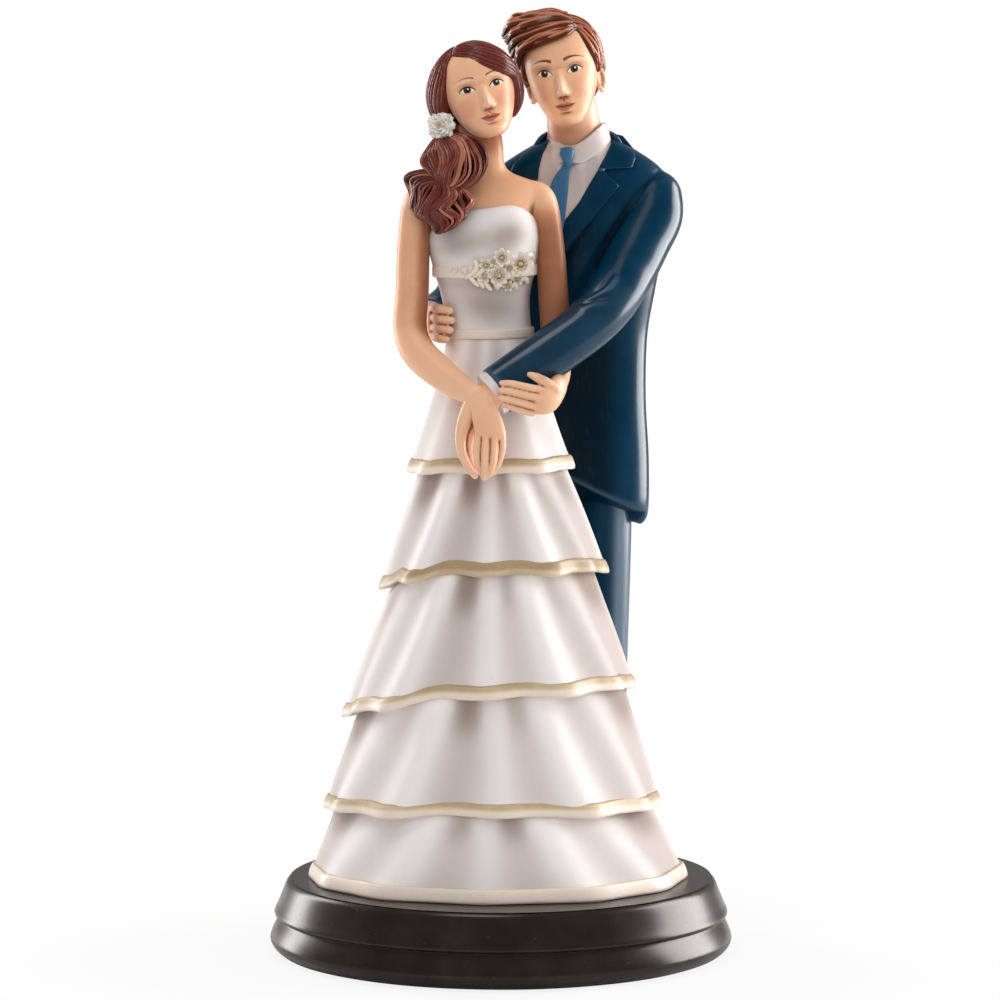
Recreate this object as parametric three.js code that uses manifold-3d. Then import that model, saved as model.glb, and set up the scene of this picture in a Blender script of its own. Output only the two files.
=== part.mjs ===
// Wedding cake topper: a bride and groom in painted cast resin, standing on a round stepped plinth.
// Millimetres, +Z up. The origin is the centre of the underside, and the couple faces -Y.
// The bride's right is on -X. Every casting keeps a glue line to the ones that it touches.

import * as THREE from "three";
import { mergeVertices } from "three/addons/utils/BufferGeometryUtils.js";
import Module from "manifold-3d";

const wasm = await Module();
wasm.setup();

// Fits
const GLUE_LINE = 0.3;

// Plinth and its felt pad
const PLINTH_HEIGHT = 16;
const LOWER_STEP_RADIUS = 49.2;
const UPPER_STEP_RADIUS = 48.3;
const TOP_RADIUS = 45.6;
const FOOT_RADIUS = 46.6;
const STEP_HEIGHT = 7.8;
const GROOVE_DEPTH = 0.9;
const TOP_EDGE_ROUND = 1.4;
const FELT_THICKNESS = 1;
const FELT_PROUD = 0.3;
const FELT_MARGIN = 3.6;
const FELT_RADIUS = FOOT_RADIUS - FELT_MARGIN;
const PEG_RADIUS = 3;
const PEG_LENGTH = 6;
const PEG_SPACING = 34;
const PEG_BACK_OFFSET = -8;

// Skirt: each tier falls from the hem above it, or from the waist, to its own hem.
// Its neck plugs into the tier above, and its hem hangs over the next neck.
// Ovals give the centre, the half width, and the reach to the front and to the back.
const BAND_HEIGHT = 1.8;
const BAND_PROUD = 0.35;
const TIER_OVERLAP = 7;
const LOWEST_BAND_WIDTH = 3;
const TIERS = [
  {
    fall: 28.1,
    neck: { x: -2.3, half: 9, front: 7.2, back: 6.2 },
    hem: { x: -2.3, half: 18, front: 16, back: 10.8 },
    folds: 8,
    foldDepth: 0.5,
    droop: 0.6,
    tilt: 0.3,
    rise: 0,
  },
  {
    fall: 22.8,
    neck: { x: -2.1, half: 16.2, front: 14.2, back: 9.4 },
    hem: { x: -1.4, half: 23.9, front: 21, back: 12.8 },
    folds: 8,
    foldDepth: 0.8,
    droop: 1.2,
    tilt: 1,
    rise: 1.4,
  },
  {
    fall: 25.8,
    neck: { x: -1.8, half: 21.6, front: 19, back: 11 },
    hem: { x: -2.4, half: 31, front: 27.3, back: 15.6 },
    folds: 9,
    foldDepth: 1.1,
    droop: 1.2,
    tilt: 2.2,
    rise: 2.4,
  },
  {
    fall: 21.6,
    neck: { x: -2.2, half: 28, front: 24.6, back: 13.6 },
    hem: { x: -1.8, half: 36.5, front: 31.8, back: 18 },
    folds: 12,
    foldDepth: 1.1,
    droop: 0.9,
    tilt: 0,
    rise: 0.6,
  },
  {
    fall: 17.2,
    neck: { x: -1.6, half: 33, front: 29.2, back: 16 },
    hem: { x: -0.7, half: 41, front: 36.2, back: 20 },
    folds: 13,
    foldDepth: 0.9,
    droop: 0,
    tilt: 0,
    rise: 0,
  },
];
const SIDES_PER_FOLD = 4;

// Heights above the plinth's top
const WAIST_HEIGHT = TIERS.reduce((sum, tier) => sum + tier.fall, 0);
const hemLevel = (index) => TIERS.slice(index + 1).reduce((sum, tier) => sum + tier.fall, 0);
TIERS.forEach((tier, index) => (tier.hemHeight = hemLevel(index)));

// Bodice and the bride's skin, as [height above the waist, x, y, half width, front, back]
const BODICE = [
  [0, -2.3, 0, 9, 7.2, 6.2],
  [4, -2.8, 0, 9, 7.2, 6],
  [9, -3.3, 0, 9.5, 7.8, 6],
  [14.5, -3.4, 0, 10.9, 9.4, 6.3],
  [19.5, -3.6, 0, 11.8, 10.6, 6.6],
  [23, -3.8, 0, 11.9, 9.8, 6.6],
  [26, -3.9, 0, 11.3, 8.4, 6.2],
];
const NECKLINE_TILT = 0.13;
const SHOULDERS = [
  [26, -3.9, 0, 10.6, 7.6, 5.6],
  [28.6, -4, 0, 13, 6.6, 5.4],
  [30.6, -3.9, 0, 12.2, 5.4, 4.9],
  [32.4, -3.6, 0.2, 8.8, 4.5, 4.3],
  [34, -3.2, 0.3, 5.2, 3.8, 3.7],
  [36, -2.9, 0.2, 3.6, 3.4, 3.4],
  [40, -2.8, -0.4, 3.3, 3.3, 3.3],
  [45, -3.2, -0.8, 3.4, 3.4, 3.4],
];
const RIBBON_PROUD = 0.8;
const WAIST_BELT = { low: 0, high: 2.4 };
const BUST_SASH = { low: 12.6, high: 14.6 };

// Limbs as [x, y, height above the waist, radius]
const BRIDE_RIGHT_ARM = [
  [-17, -1.4, 28.8, 3.3],
  [-17.9, -1.8, 20, 3.1],
  [-18.2, -2, 9, 3.3],
  [-18.6, -3.2, 1.2, 3.5],
  [-17, -6, -3, 3.6],
  [-12.8, -10.6, -7, 3.5],
  [-8.6, -15, -10, 2.8],
  [-5.4, -18.4, -12, 2.3],
];
const BRIDE_LEFT_ARM = [
  [9.2, -0.2, 28.4, 3.2],
  [10.2, -0.2, 20, 3],
  [11, -0.8, 9, 3.2],
  [12, -1.8, -1.5, 3.3],
  [12.8, -4.6, -7, 3.1],
  [13, -11.4, -9.4, 2.6],
  [12.6, -17.8, -9.8, 2.1],
];
const LEFT_SLEEVE = [
  [32.7, 14.6, 28.4, 6],
  [32.6, 12.4, 24.6, 6.1],
  [30, 9, 19.6, 6.2],
  [27, 4.5, 13.8, 6],
  [22.8, -1.2, 7.2, 5.8],
  [17.6, -6, 2, 5.4],
  [8.4, -11.2, -4.2, 4.8],
  [-0.8, -14.6, -9.6, 4.1],
];
const RIGHT_SLEEVE = [
  [0.6, 15.6, 27.6, 5.8],
  [-0.6, 17.6, 22.6, 6],
  [-5, 21.5, 14, 5.6],
  [-9.5, 22.4, 6, 5.2],
  [-13.6, 17.6, 3.2, 4.6],
  [-15.2, 11.2, 3, 4],
];
const CUFF_LENGTH = 2.2;
const CUFF_INSET = 0.5;

// Groom's clothes
const JACKET = [
  [-41, 16.6, 17, 14.6, 8.6, 9.6],
  [-30, 16.8, 17, 15, 9, 9.9],
  [-15, 16.6, 16.6, 14.6, 8.4, 9.2],
  [-2, 16.5, 16, 14.2, 8, 8.6],
  [8, 16.5, 15.5, 15.4, 8.5, 8.7],
  [18, 16.6, 15, 17.8, 9.1, 8.7],
  [26, 16.6, 15, 19.6, 8.6, 8.4],
  [31, 16.7, 15, 19.6, 7.2, 7.6],
  [35, 16.8, 15, 17, 5.8, 6.6],
  [38.4, 16.9, 15, 12.2, 5.2, 6],
  [41.6, 16.9, 15, 7.4, 4.8, 5.6],
];
const JACKET_CUTAWAY = 10;
const LAPEL_THICKNESS = 1;
const SHIRT_RECESS = 1.2;
const SHIRT_VEE = [
  [13.2, 11],
  [24.4, 36],
  [26, 46],
  [8.6, 46],
  [7.6, 36],
];
const LEFT_LAPEL = [
  [14.4, 9],
  [24.8, 35.6],
  [27, 37],
  [29, 31.6],
  [25.6, 31],
  [26.8, 28.2],
  [20.6, 17],
];
const RIGHT_LAPEL = [
  [12.4, 10],
  [7.2, 35.6],
  [5.2, 37],
  [3.4, 31.6],
  [6, 31],
  [5, 28.2],
  [8.6, 17],
];
const TIE = [
  [14.6, 5.4, 37.8, 1.5, 0.9],
  [14.5, 5, 35.6, 1.9, 1.1],
  [14.2, 5, 33.6, 1.1, 0.8],
  [13.7, 4.6, 27, 2, 0.8],
  [13.2, 4.4, 18, 2.3, 0.8],
];
const LEG_RADIUS = 5.3;
const LEG_SPREAD = 11.2;
const STANCE = { x: 16.5, y: 21.6 };
const TROUSER_HEM_HEIGHT = 3.4;
const SHOE = { length: 19, half: 4.2, height: 4.6, heel: 7 };

// Heads as centre above the waist, half sizes, and turns in degrees
const BRIDE_HEAD = {
  centre: [-4.6, -2.2, 51],
  half: [7.9, 8.9, 10.2],
  roll: -15,
  pitch: -10,
  yaw: 8,
};
const GROOM_HEAD = {
  centre: [13.2, 8.2, 54.6],
  half: [8.1, 9.4, 11.4],
  roll: -10,
  pitch: -2,
  yaw: -6,
};
const BRIDE_HAIR_DEPTH = 1.7;
const GROOM_HAIR_DEPTH = 1.6;
const GROOM_NECK = [
  [15.6, 14, 35, 4.9],
  [15, 12.4, 40, 4.7],
  [14.2, 10.6, 46, 4.6],
];
const PONYTAIL = [
  [-11.4, -2.4, 44.4, 2.3],
  [-10.2, -5.2, 41, 3.6],
  [-8, -7.2, 37.4, 4.6],
  [-7.2, -8.4, 33.6, 4.7],
  [-8.6, -9.2, 30.4, 3.6],
];
const CURLS = [
  [-17.2, -5.4, 33.2, 2.2],
  [-15.4, -7.6, 30.2, 3.8],
  [-12.4, -9.6, 27.4, 4.8],
  [-11.2, -10.6, 24.4, 3.8],
  [-11, -10.8, 22.2, 1.8],
];
const FLOWER = { centre: [-12.8, -7.4, 44.6], radius: 2.8, petals: 6 };

// Solids from rings of points

const flipped = (faces) => faces.map((_, i) => faces[i - (i % 3) + (2 - (i % 3))]);

function solidFrom(points, faces) {
  const vertProperties = new Float32Array(points.flatMap((p) => [p.x, p.y, p.z]));
  const made = (list) =>
    new wasm.Manifold(new wasm.Mesh({ numProp: 3, vertProperties, triVerts: new Uint32Array(list) }));
  const solid = made(faces);
  return solid.volume() < 0 ? made(flipped(faces)) : solid;
}

function middleOf(ring) {
  const sum = ring.reduce((total, p) => total.add(p), new THREE.Vector3());
  return sum.divideScalar(ring.length);
}

// A closed skin over a stack of rings. An open stack is capped at both ends, a looped one joins up.
function skin(rings, looped = false) {
  const sides = rings[0].length;
  const points = rings.flat();
  const faces = [];
  const spans = looped ? rings.length : rings.length - 1;
  for (let level = 0; level < spans; level++) {
    const low = level * sides;
    const high = ((level + 1) % rings.length) * sides;
    for (let i = 0; i < sides; i++) {
      const j = (i + 1) % sides;
      faces.push(low + i, low + j, high + j, low + i, high + j, high + i);
    }
  }
  if (!looped) {
    const last = (rings.length - 1) * sides;
    const bottom = points.push(middleOf(rings[0])) - 1;
    const top = points.push(middleOf(rings.at(-1))) - 1;
    for (let i = 0; i < sides; i++) {
      const j = (i + 1) % sides;
      faces.push(bottom, j, i, top, last + i, last + j);
    }
  }
  return solidFrom(points, faces);
}

function solidOf(geometry) {
  const plain = geometry.clone();
  plain.deleteAttribute("normal");
  plain.deleteAttribute("uv");
  const merged = mergeVertices(plain, 1e-4);
  const triVerts = new Uint32Array(merged.index.array);
  const vertProperties = merged.attributes.position.array;
  return new wasm.Manifold(new wasm.Mesh({ numProp: 3, vertProperties, triVerts }));
}

function geometryOf(solid) {
  const mesh = solid.getMesh();
  const geometry = new THREE.BufferGeometry();
  geometry.setAttribute("position", new THREE.BufferAttribute(mesh.vertProperties, 3));
  geometry.setIndex(new THREE.BufferAttribute(mesh.triVerts, 1));
  geometry.computeVertexNormals();
  return geometry;
}

// The same solid with every point moved out along its normal, for cutting room for it in a neighbour.
function grown(solid, by = GLUE_LINE) {
  const geometry = geometryOf(solid);
  const { position, normal } = geometry.attributes;
  const moved = position.array.map((value, i) => value + by * normal.array[i]);
  const triVerts = new Uint32Array(geometry.index.array);
  return new wasm.Manifold(new wasm.Mesh({ numProp: 3, vertProperties: moved, triVerts }));
}

const cutBy = (solid, ...others) => others.reduce((left, other) => left.subtract(grown(other)), solid);
const joined = (solids) => solids.reduce((whole, solid) => whole.add(solid));

// A cut can leave crumbs beside the casting itself, so only its largest body is kept.
function largest(solid) {
  const bodies = solid.decompose();
  return bodies.reduce((best, body) => (body.volume() > best.volume() ? body : best));
}

// Values along a list of stations, with a smooth curve through them
function along(stations, t) {
  const spans = stations.length - 1;
  const i = Math.min(Math.floor(t * spans), spans - 1);
  const u = t * spans - i;
  const at = (k) => stations[Math.max(0, Math.min(spans, k))];
  return at(i).map((_, n) => {
    const [a, b, c, d] = [at(i - 1)[n], at(i)[n], at(i + 1)[n], at(i + 2)[n]];
    return b + 0.5 * u * (c - a + u * (2 * a - 5 * b + 4 * c - d + u * (3 * (b - c) + d - a)));
  });
}

// A point on an oval. Angle 0 faces the front, and grows towards +X.
function ovalPoint({ x, y = 0, half, front, back }, angle, z, more = 0) {
  const reach = Math.cos(angle) > 0 ? front : back;
  return new THREE.Vector3(x + (half + more) * Math.sin(angle), y - (reach + more) * Math.cos(angle), z);
}

const turns = (sides) => Array.from({ length: sides }, (_, i) => (2 * Math.PI * i) / sides);

// A stack of ovals through stations of [z, x, y, half width, front, back]
function torso(stations, { sides = 20, perSpan = 1, bend = () => 0 } = {}) {
  const steps = (stations.length - 1) * perSpan;
  const rings = [];
  for (let step = 0; step <= steps; step++) {
    const [z, x, y, half, front, back] = along(stations, step / steps);
    const ring = turns(sides).map((angle) => ovalPoint({ x, y, half, front, back }, angle, z));
    ring.forEach((p) => (p.z += bend(p, step / steps)));
    rings.push(ring);
  }
  return skin(rings).translate(0, 0, WAIST_HEIGHT);
}

// A limb along stations of [x, y, z, radius] or [x, y, z, wide, thick], with domed ends.
// The wide direction lies along the given vector.
function limb(stations, { sides = 8, perSpan = 1, wide = [1, 0, 0], domes = [true, true] } = {}) {
  const full = stations.map(([x, y, z, a, b = a]) => [x, y, z, a, b]);
  const steps = (full.length - 1) * perSpan;
  const place = (t) => new THREE.Vector3(...along(full, t).slice(0, 3));
  const ringAt = (t, out, size) => {
    const step = 0.5 / steps;
    const tangent = place(Math.min(1, t + step)).sub(place(Math.max(0, t - step))).normalize();
    const thickWay = new THREE.Vector3().crossVectors(tangent, new THREE.Vector3(...wide)).normalize();
    const wideWay = new THREE.Vector3().crossVectors(thickWay, tangent);
    const [, , , a, b] = along(full, t);
    const centre = place(t).addScaledVector(tangent, out * Math.min(a, b));
    return turns(sides).map((angle) =>
      centre
        .clone()
        .addScaledVector(wideWay, size * a * Math.cos(angle))
        .addScaledVector(thickWay, size * b * Math.sin(angle)),
    );
  };
  const rings = [];
  if (domes[0]) rings.push(ringAt(0, -0.85, 0.45), ringAt(0, -0.5, 0.85));
  for (let step = 0; step <= steps; step++) rings.push(ringAt(step / steps, 0, 1));
  if (domes[1]) rings.push(ringAt(1, 0.5, 0.85), ringAt(1, 0.85, 0.45));
  return skin(rings).translate(0, 0, WAIST_HEIGHT);
}

// A prism through the whole depth of the couple, over an outline of [x, height above the waist]
function prism(outline, front, back) {
  const shape = new THREE.Shape(outline.map(([x, z]) => new THREE.Vector2(x, z)));
  const geometry = new THREE.ExtrudeGeometry(shape, { depth: back - front, bevelEnabled: false });
  geometry.rotateX(Math.PI / 2);
  geometry.translate(0, back, WAIST_HEIGHT);
  return solidOf(geometry);
}

function slab(low, high, reach = 60) {
  const box = new THREE.BoxGeometry(2 * reach, 2 * reach, high - low);
  box.translate(0, 0, WAIST_HEIGHT + (low + high) / 2);
  return solidOf(box);
}

// A thin layer over a solid, one glue line off it
const layerOver = (solid, proud) => grown(solid, proud).subtract(grown(solid));

function ball([x, y, z], [a, b, c], [wideSides, highSides] = [8, 6]) {
  const geometry = new THREE.SphereGeometry(1, wideSides, highSides);
  geometry.rotateX(Math.PI / 2);
  geometry.scale(a, b, c);
  geometry.translate(x, y, z + WAIST_HEIGHT);
  return solidOf(geometry);
}

// Plinth

function plinthProfile() {
  const bottom = FELT_PROUD;
  const lowerMiddle = bottom + 0.45 * (STEP_HEIGHT - bottom);
  const upperMiddle = STEP_HEIGHT + 0.3 * (PLINTH_HEIGHT - STEP_HEIGHT);
  const groove = UPPER_STEP_RADIUS - GROOVE_DEPTH;
  const recess = FELT_THICKNESS;
  return [
    [0, recess],
    [FELT_RADIUS + GLUE_LINE, recess],
    [FELT_RADIUS + GLUE_LINE, bottom],
    [FOOT_RADIUS, bottom],
    [(FOOT_RADIUS + LOWER_STEP_RADIUS) / 2 + 0.6, bottom + 1.2],
    [LOWER_STEP_RADIUS, lowerMiddle],
    [groove, STEP_HEIGHT],
    [UPPER_STEP_RADIUS, STEP_HEIGHT + GROOVE_DEPTH],
    [UPPER_STEP_RADIUS - 0.4, upperMiddle],
    [TOP_RADIUS + 0.3, PLINTH_HEIGHT - TOP_EDGE_ROUND],
    [TOP_RADIUS - 0.7 * TOP_EDGE_ROUND, PLINTH_HEIGHT],
    [0, PLINTH_HEIGHT],
  ].map(([r, z]) => new THREE.Vector2(r, z));
}

const PLINTH_SIDES = 40;

function peg(side, radius, length) {
  const geometry = new THREE.CylinderGeometry(radius, radius, length, 16);
  geometry.rotateX(Math.PI / 2);
  geometry.translate((side * PEG_SPACING) / 2, PEG_BACK_OFFSET, -length / 2);
  return solidOf(geometry);
}

function plinth() {
  const turned = new THREE.LatheGeometry(plinthProfile(), PLINTH_SIDES).rotateX(Math.PI / 2);
  const block = solidOf(turned);
  const sockets = [-1, 1].map((side) => peg(side, PEG_RADIUS + GLUE_LINE, PEG_LENGTH + GLUE_LINE));
  const raised = joined(sockets).translate(0, 0, PLINTH_HEIGHT);
  return block.subtract(raised);
}

function feltPad() {
  const disc = new THREE.CylinderGeometry(FELT_RADIUS, FELT_RADIUS, FELT_THICKNESS, PLINTH_SIDES);
  disc.rotateX(Math.PI / 2);
  disc.translate(0, 0, FELT_THICKNESS / 2);
  return solidOf(disc);
}

// Skirt, whose heights run from the plinth's top

const wave = (tier, angle) => Math.cos(tier.folds * angle);
const hemLean = (tier, angle) => tier.tilt * Math.sin(angle) + tier.rise * Math.cos(angle);
const hemHeight = (tier, angle) => tier.hemHeight + hemLean(tier, angle) - tier.droop * wave(tier, angle);
const tierTop = (index) => (index ? TIERS[index - 1].hemHeight + TIER_OVERLAP : WAIST_HEIGHT);

function mixedOval(a, b, t) {
  const mix = (key) => a[key] + (b[key] - a[key]) * t;
  return { x: mix("x"), half: mix("half"), front: mix("front"), back: mix("back") };
}

const tierRing = (tier, place) => turns(tier.folds * SIDES_PER_FOLD).map(place);

// Where a tier leaves the hem above it and starts to flare
function flareHeight(index, angle) {
  if (!index) return WAIST_HEIGHT - GLUE_LINE;
  const above = TIERS[index - 1];
  return above.hemHeight + hemLean(above, angle) - above.droop - GLUE_LINE;
}

function outerRings(index, lowest) {
  const tier = TIERS[index];
  const flare = [0, 0.35, 0.7, 1];
  const rings = flare.map((s) =>
    tierRing(tier, (angle) => {
      const high = flareHeight(index, angle);
      const low = hemHeight(tier, angle) + lowest;
      const fold = tier.foldDepth * wave(tier, angle) * s ** 1.4;
      return ovalPoint(mixedOval(tier.neck, tier.hem, s), angle, high + (low - high) * s, fold);
    }),
  );
  const top = tierTop(index) - GLUE_LINE;
  rings.unshift(tierRing(tier, (angle) => ovalPoint(tier.neck, angle, top)));
  return rings;
}

const bandEdge = (tier, angle, z) =>
  ovalPoint(tier.hem, angle, z, tier.foldDepth * wave(tier, angle) + BAND_PROUD);

// The solid outer form of a tier and its band, for cutting room in what stands behind it
function tierForm(index) {
  const tier = TIERS[index];
  const ledge = BAND_HEIGHT + GLUE_LINE;
  const edge = (lift) => tierRing(tier, (angle) => bandEdge(tier, angle, hemHeight(tier, angle) + lift));
  return skin([...outerRings(index, ledge), edge(ledge), edge(0)]);
}

function skirtTier(index) {
  const tier = TIERS[index];
  const lowest = TIERS[index + 1];
  const rings = outerRings(index, BAND_HEIGHT + GLUE_LINE);
  if (!lowest) {
    const inner = (angle) => ovalPoint(tier.hem, angle, 0, -LOWEST_BAND_WIDTH - GLUE_LINE);
    const ledge = (angle) => inner(angle).setZ(BAND_HEIGHT + GLUE_LINE);
    rings.push(tierRing(tier, ledge), tierRing(tier, inner));
    const pegs = [-1, 1].map((side) => peg(side, PEG_RADIUS, PEG_LENGTH));
    return joined([skin(rings), ...pegs.map((p) => p.translate(0, 0, GLUE_LINE / 2))]);
  }
  const ceiling = tierTop(index + 1);
  const under = (angle) => ovalPoint(lowest.neck, angle, ceiling, GLUE_LINE);
  const ledge = (angle) => under(angle).setZ(hemHeight(tier, angle) + BAND_HEIGHT + GLUE_LINE);
  rings.push(tierRing(tier, ledge), tierRing(tier, under));
  return skin(rings);
}

function hemBand(index) {
  const tier = TIERS[index];
  const next = TIERS[index + 1];
  const floor = next ? 0 : GLUE_LINE;
  const inside = (angle, z) =>
    next ? ovalPoint(next.neck, angle, z, GLUE_LINE) : ovalPoint(tier.hem, angle, z, -LOWEST_BAND_WIDTH);
  const low = (angle) => hemHeight(tier, angle) + floor;
  const high = (angle) => hemHeight(tier, angle) + BAND_HEIGHT;
  const rings = [
    tierRing(tier, (angle) => bandEdge(tier, angle, low(angle))),
    tierRing(tier, (angle) => bandEdge(tier, angle, high(angle))),
    tierRing(tier, (angle) => inside(angle, high(angle))),
    tierRing(tier, (angle) => inside(angle, low(angle))),
  ];
  return skin(rings, true);
}

// Heads: an egg with a narrower jaw, a nose, and a turn of the neck

function headForm({ half: [a, b, c] }, more = 0) {
  const egg = new THREE.SphereGeometry(1, 14, 11).rotateX(Math.PI / 2);
  const { position } = egg.attributes;
  for (let i = 0; i < position.count; i++) {
    const [x, y, z] = [position.getX(i), position.getY(i), position.getZ(i)];
    const jaw = z < 0 ? 1 - 0.34 * z * z : 1;
    const nape = z < 0 && y > 0 ? 1 + 0.45 * z : 1;
    position.setXYZ(i, x * (a + more) * jaw, y * (b + more) * nape, z * (c + more));
  }
  return solidOf(egg);
}

function posed(solid, { centre: [x, y, z], roll, pitch, yaw }) {
  return solid.rotate(pitch, roll, yaw).translate(x, y, z + WAIST_HEIGHT);
}

function nose({ half: [a, b, c] }) {
  const bridge = new THREE.Vector3(0, -0.93 * b, 0.1 * c);
  const tip = new THREE.Vector3(0, -1.08 * b, -0.34 * c);
  const rings = [bridge, tip].map((p, i) =>
    turns(6).map((angle) => {
      const size = (i ? 0.17 : 0.09) * a;
      return new THREE.Vector3(p.x + size * Math.cos(angle), p.y + size * Math.sin(angle), p.z);
    }),
  );
  return skin(rings);
}

function ear({ half: [a, , c] }, side) {
  const geometry = new THREE.SphereGeometry(1, 8, 6);
  geometry.scale(0.12 * a, 0.22 * a, 0.24 * c);
  geometry.translate(side * a, 0.08 * c, -0.1 * c);
  return solidOf(geometry);
}

// Hair: the head's egg grown and set back, so that the face stands clear of it
function hairCap(head, depth, [x, y, z]) {
  const cap = headForm(head, depth).translate(x, y, z);
  return posed(cap, head);
}

// Hands: a flat palm with a thumb and four fingers, given as limb stations
const hand = (palm, digits, wide) =>
  joined([limb(palm, { wide }), ...digits.map((d) => limb(d, { wide, sides: 5, domes: [false, true] }))]);

function brideRightHand() {
  const palm = [
    [-4.9, -18.9, -12.9, 2.2, 1.7],
    [-4.4, -19.9, -16.4, 3.8, 1.7],
    [-4, -20, -19.8, 4, 1.4],
  ];
  const roots = [-6.6, -4.9, -3.2, -1.5];
  const tips = [-5.4, -4.5, -3.6, -2.8];
  const ends = [-27.8, -28.6, -28.2, -26.6];
  const fingers = roots.map((root, i) => [
    [root, -20, -19, 1],
    [root + 0.2, -20.4, -23.6, 0.9],
    [tips[i], -19.4, ends[i], 0.65],
  ]);
  const thumb = [
    [-7, -19.6, -15.4, 1.3],
    [-8.7, -20, -20.4, 1.05],
    [-6.9, -19.9, -26.6, 0.7],
  ];
  return hand(palm, [thumb, ...fingers], [1, 0, 0]);
}

function brideLeftHand() {
  const palm = [
    [12.4, -18.6, -9.8, 2, 1.5],
    [9.6, -20, -10.8, 3.2, 1.5],
    [6.6, -20.4, -11, 3.4, 1.3],
  ];
  const heights = [-8.6, -10.3, -12, -13.5];
  const ends = [-0.4, -0.8, 0.4, 2.4];
  const fingers = heights.map((height, i) => [
    [7, -20.5, height, 0.95],
    [3.6, -20.9, height + 0.2, 0.9],
    [ends[i], -20.2, height + 0.6, 0.65],
  ]);
  const thumb = [
    [10.6, -19.8, -8.6, 1.2],
    [8.4, -19.8, -6.9, 1],
    [6.2, -19.6, -6.2, 0.7],
  ];
  return hand(palm, [thumb, ...fingers], [0, 0, 1]);
}

function groomRightHand() {
  const palm = [
    [-15.4, 9, 3, 2.6, 1.7],
    [-15, 5.4, 3, 3.6, 1.5],
    [-14.2, 2, 2.9, 3.8, 1.3],
  ];
  const heights = [6, 4, 1.9, -0.2];
  const fingers = heights.map((height) => [
    [-14.1, 2.2, height, 1.05],
    [-13.3, -1, height, 1.05],
    [-12.2, -3.8, height, 1],
    [-10.3, -6, height, 0.8],
  ]);
  return hand(palm, fingers, [0, 0, 1]);
}

function groomLeftHand() {
  const palm = [
    [-2.8, -14.9, -11, 2.6, 1.8],
    [-3.6, -15, -13.6, 3.6, 1.8],
    [-4.4, -14.9, -16.2, 3.6, 1.5],
  ];
  return hand(palm, [], [1, 0, 0.4]);
}

// Legs and shoes, whose heights run from the plinth's top

function trouserLeg(side) {
  const x = STANCE.x + (side * LEG_SPREAD) / 2;
  const top = WAIST_HEIGHT - 20;
  const stations = [
    [x, STANCE.y, TROUSER_HEM_HEIGHT, LEG_RADIUS],
    [x, STANCE.y - 0.4, 0.33 * top, LEG_RADIUS - 0.2],
    [x + 0.2 * side, STANCE.y - 2.4, 0.66 * top, LEG_RADIUS],
    [x + 0.4 * side, STANCE.y - 4.4, top, LEG_RADIUS + 0.5],
  ];
  return limb(stations, { sides: 10, domes: [false, false] }).translate(0, 0, -WAIST_HEIGHT);
}

function shoe(side) {
  const x = STANCE.x + (side * LEG_SPREAD) / 2;
  const heel = STANCE.y + SHOE.heel;
  const middle = SHOE.height / 2 + GLUE_LINE;
  const stations = [
    [x, heel - 2, middle, 0.8 * SHOE.half, SHOE.height / 2],
    [x, heel - 0.4 * SHOE.length, middle, SHOE.half, SHOE.height / 2],
    [x + side, heel - SHOE.length + 3, middle, SHOE.half, SHOE.height / 2],
  ];
  const sole = slab(-WAIST_HEIGHT, 40 - WAIST_HEIGHT);
  return limb(stations, { sides: 10 }).translate(0, 0, -WAIST_HEIGHT).intersect(sole);
}

// Cuffs carry on from a sleeve's last stretch
function cuff(sleeve) {
  const [x, y, z, radius] = sleeve.at(-1);
  const [px, py, pz] = sleeve.at(-2);
  const way = new THREE.Vector3(x - px, y - py, z - pz).normalize();
  const at = (distance) => [
    x + way.x * distance,
    y + way.y * distance,
    z + way.z * distance,
    radius - CUFF_INSET,
  ];
  return limb([at(GLUE_LINE), at(CUFF_LENGTH)], { sides: 10, domes: [false, false] });
}

// Flowers

function hairFlower() {
  const [x, y, z] = FLOWER.centre;
  const size = FLOWER.radius;
  const petals = turns(FLOWER.petals).map((angle) =>
    ball(
      [x + 0.55 * size * Math.cos(angle), y, z + 0.55 * size * Math.sin(angle)],
      [0.5 * size, 0.42 * size, 0.5 * size],
      [6, 5],
    ),
  );
  return joined([ball([x, y - 0.3, z], [0.5 * size, 0.5 * size, 0.5 * size]), ...petals]);
}

const ORNAMENT_BLOOMS = [
  [-6.4, 13.2, 1.5],
  [-4.4, 12, 1.9],
  [-2.2, 14, 2],
  [-0.6, 11.8, 2],
  [0.6, 15.6, 2.2],
  [2.4, 13, 2.3],
  [4.6, 14.8, 2.2],
];
const ORNAMENT_REACH = 1.7;

// The chest's reach to the front at a height above the waist and a place across it
function bodiceFront(x, z) {
  const spans = BODICE.length - 1;
  const upper = BODICE.findIndex(([height], i) => i === spans || BODICE[i + 1][0] > z);
  const [low, high] = [BODICE[upper], BODICE[Math.min(spans, upper + 1)]];
  const t = high[0] > low[0] ? (z - low[0]) / (high[0] - low[0]) : 0;
  const mix = (n) => low[n] + (high[n] - low[n]) * t;
  const across = (x - mix(1)) / mix(3);
  return mix(2) - mix(4) * Math.sqrt(Math.max(0, 1 - across * across));
}

function sashOrnament() {
  const blooms = ORNAMENT_BLOOMS.map(([x, z, size]) =>
    ball([x, bodiceFront(x, z), z], [size, ORNAMENT_REACH, size], [6, 5]),
  );
  return joined(blooms);
}

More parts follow.
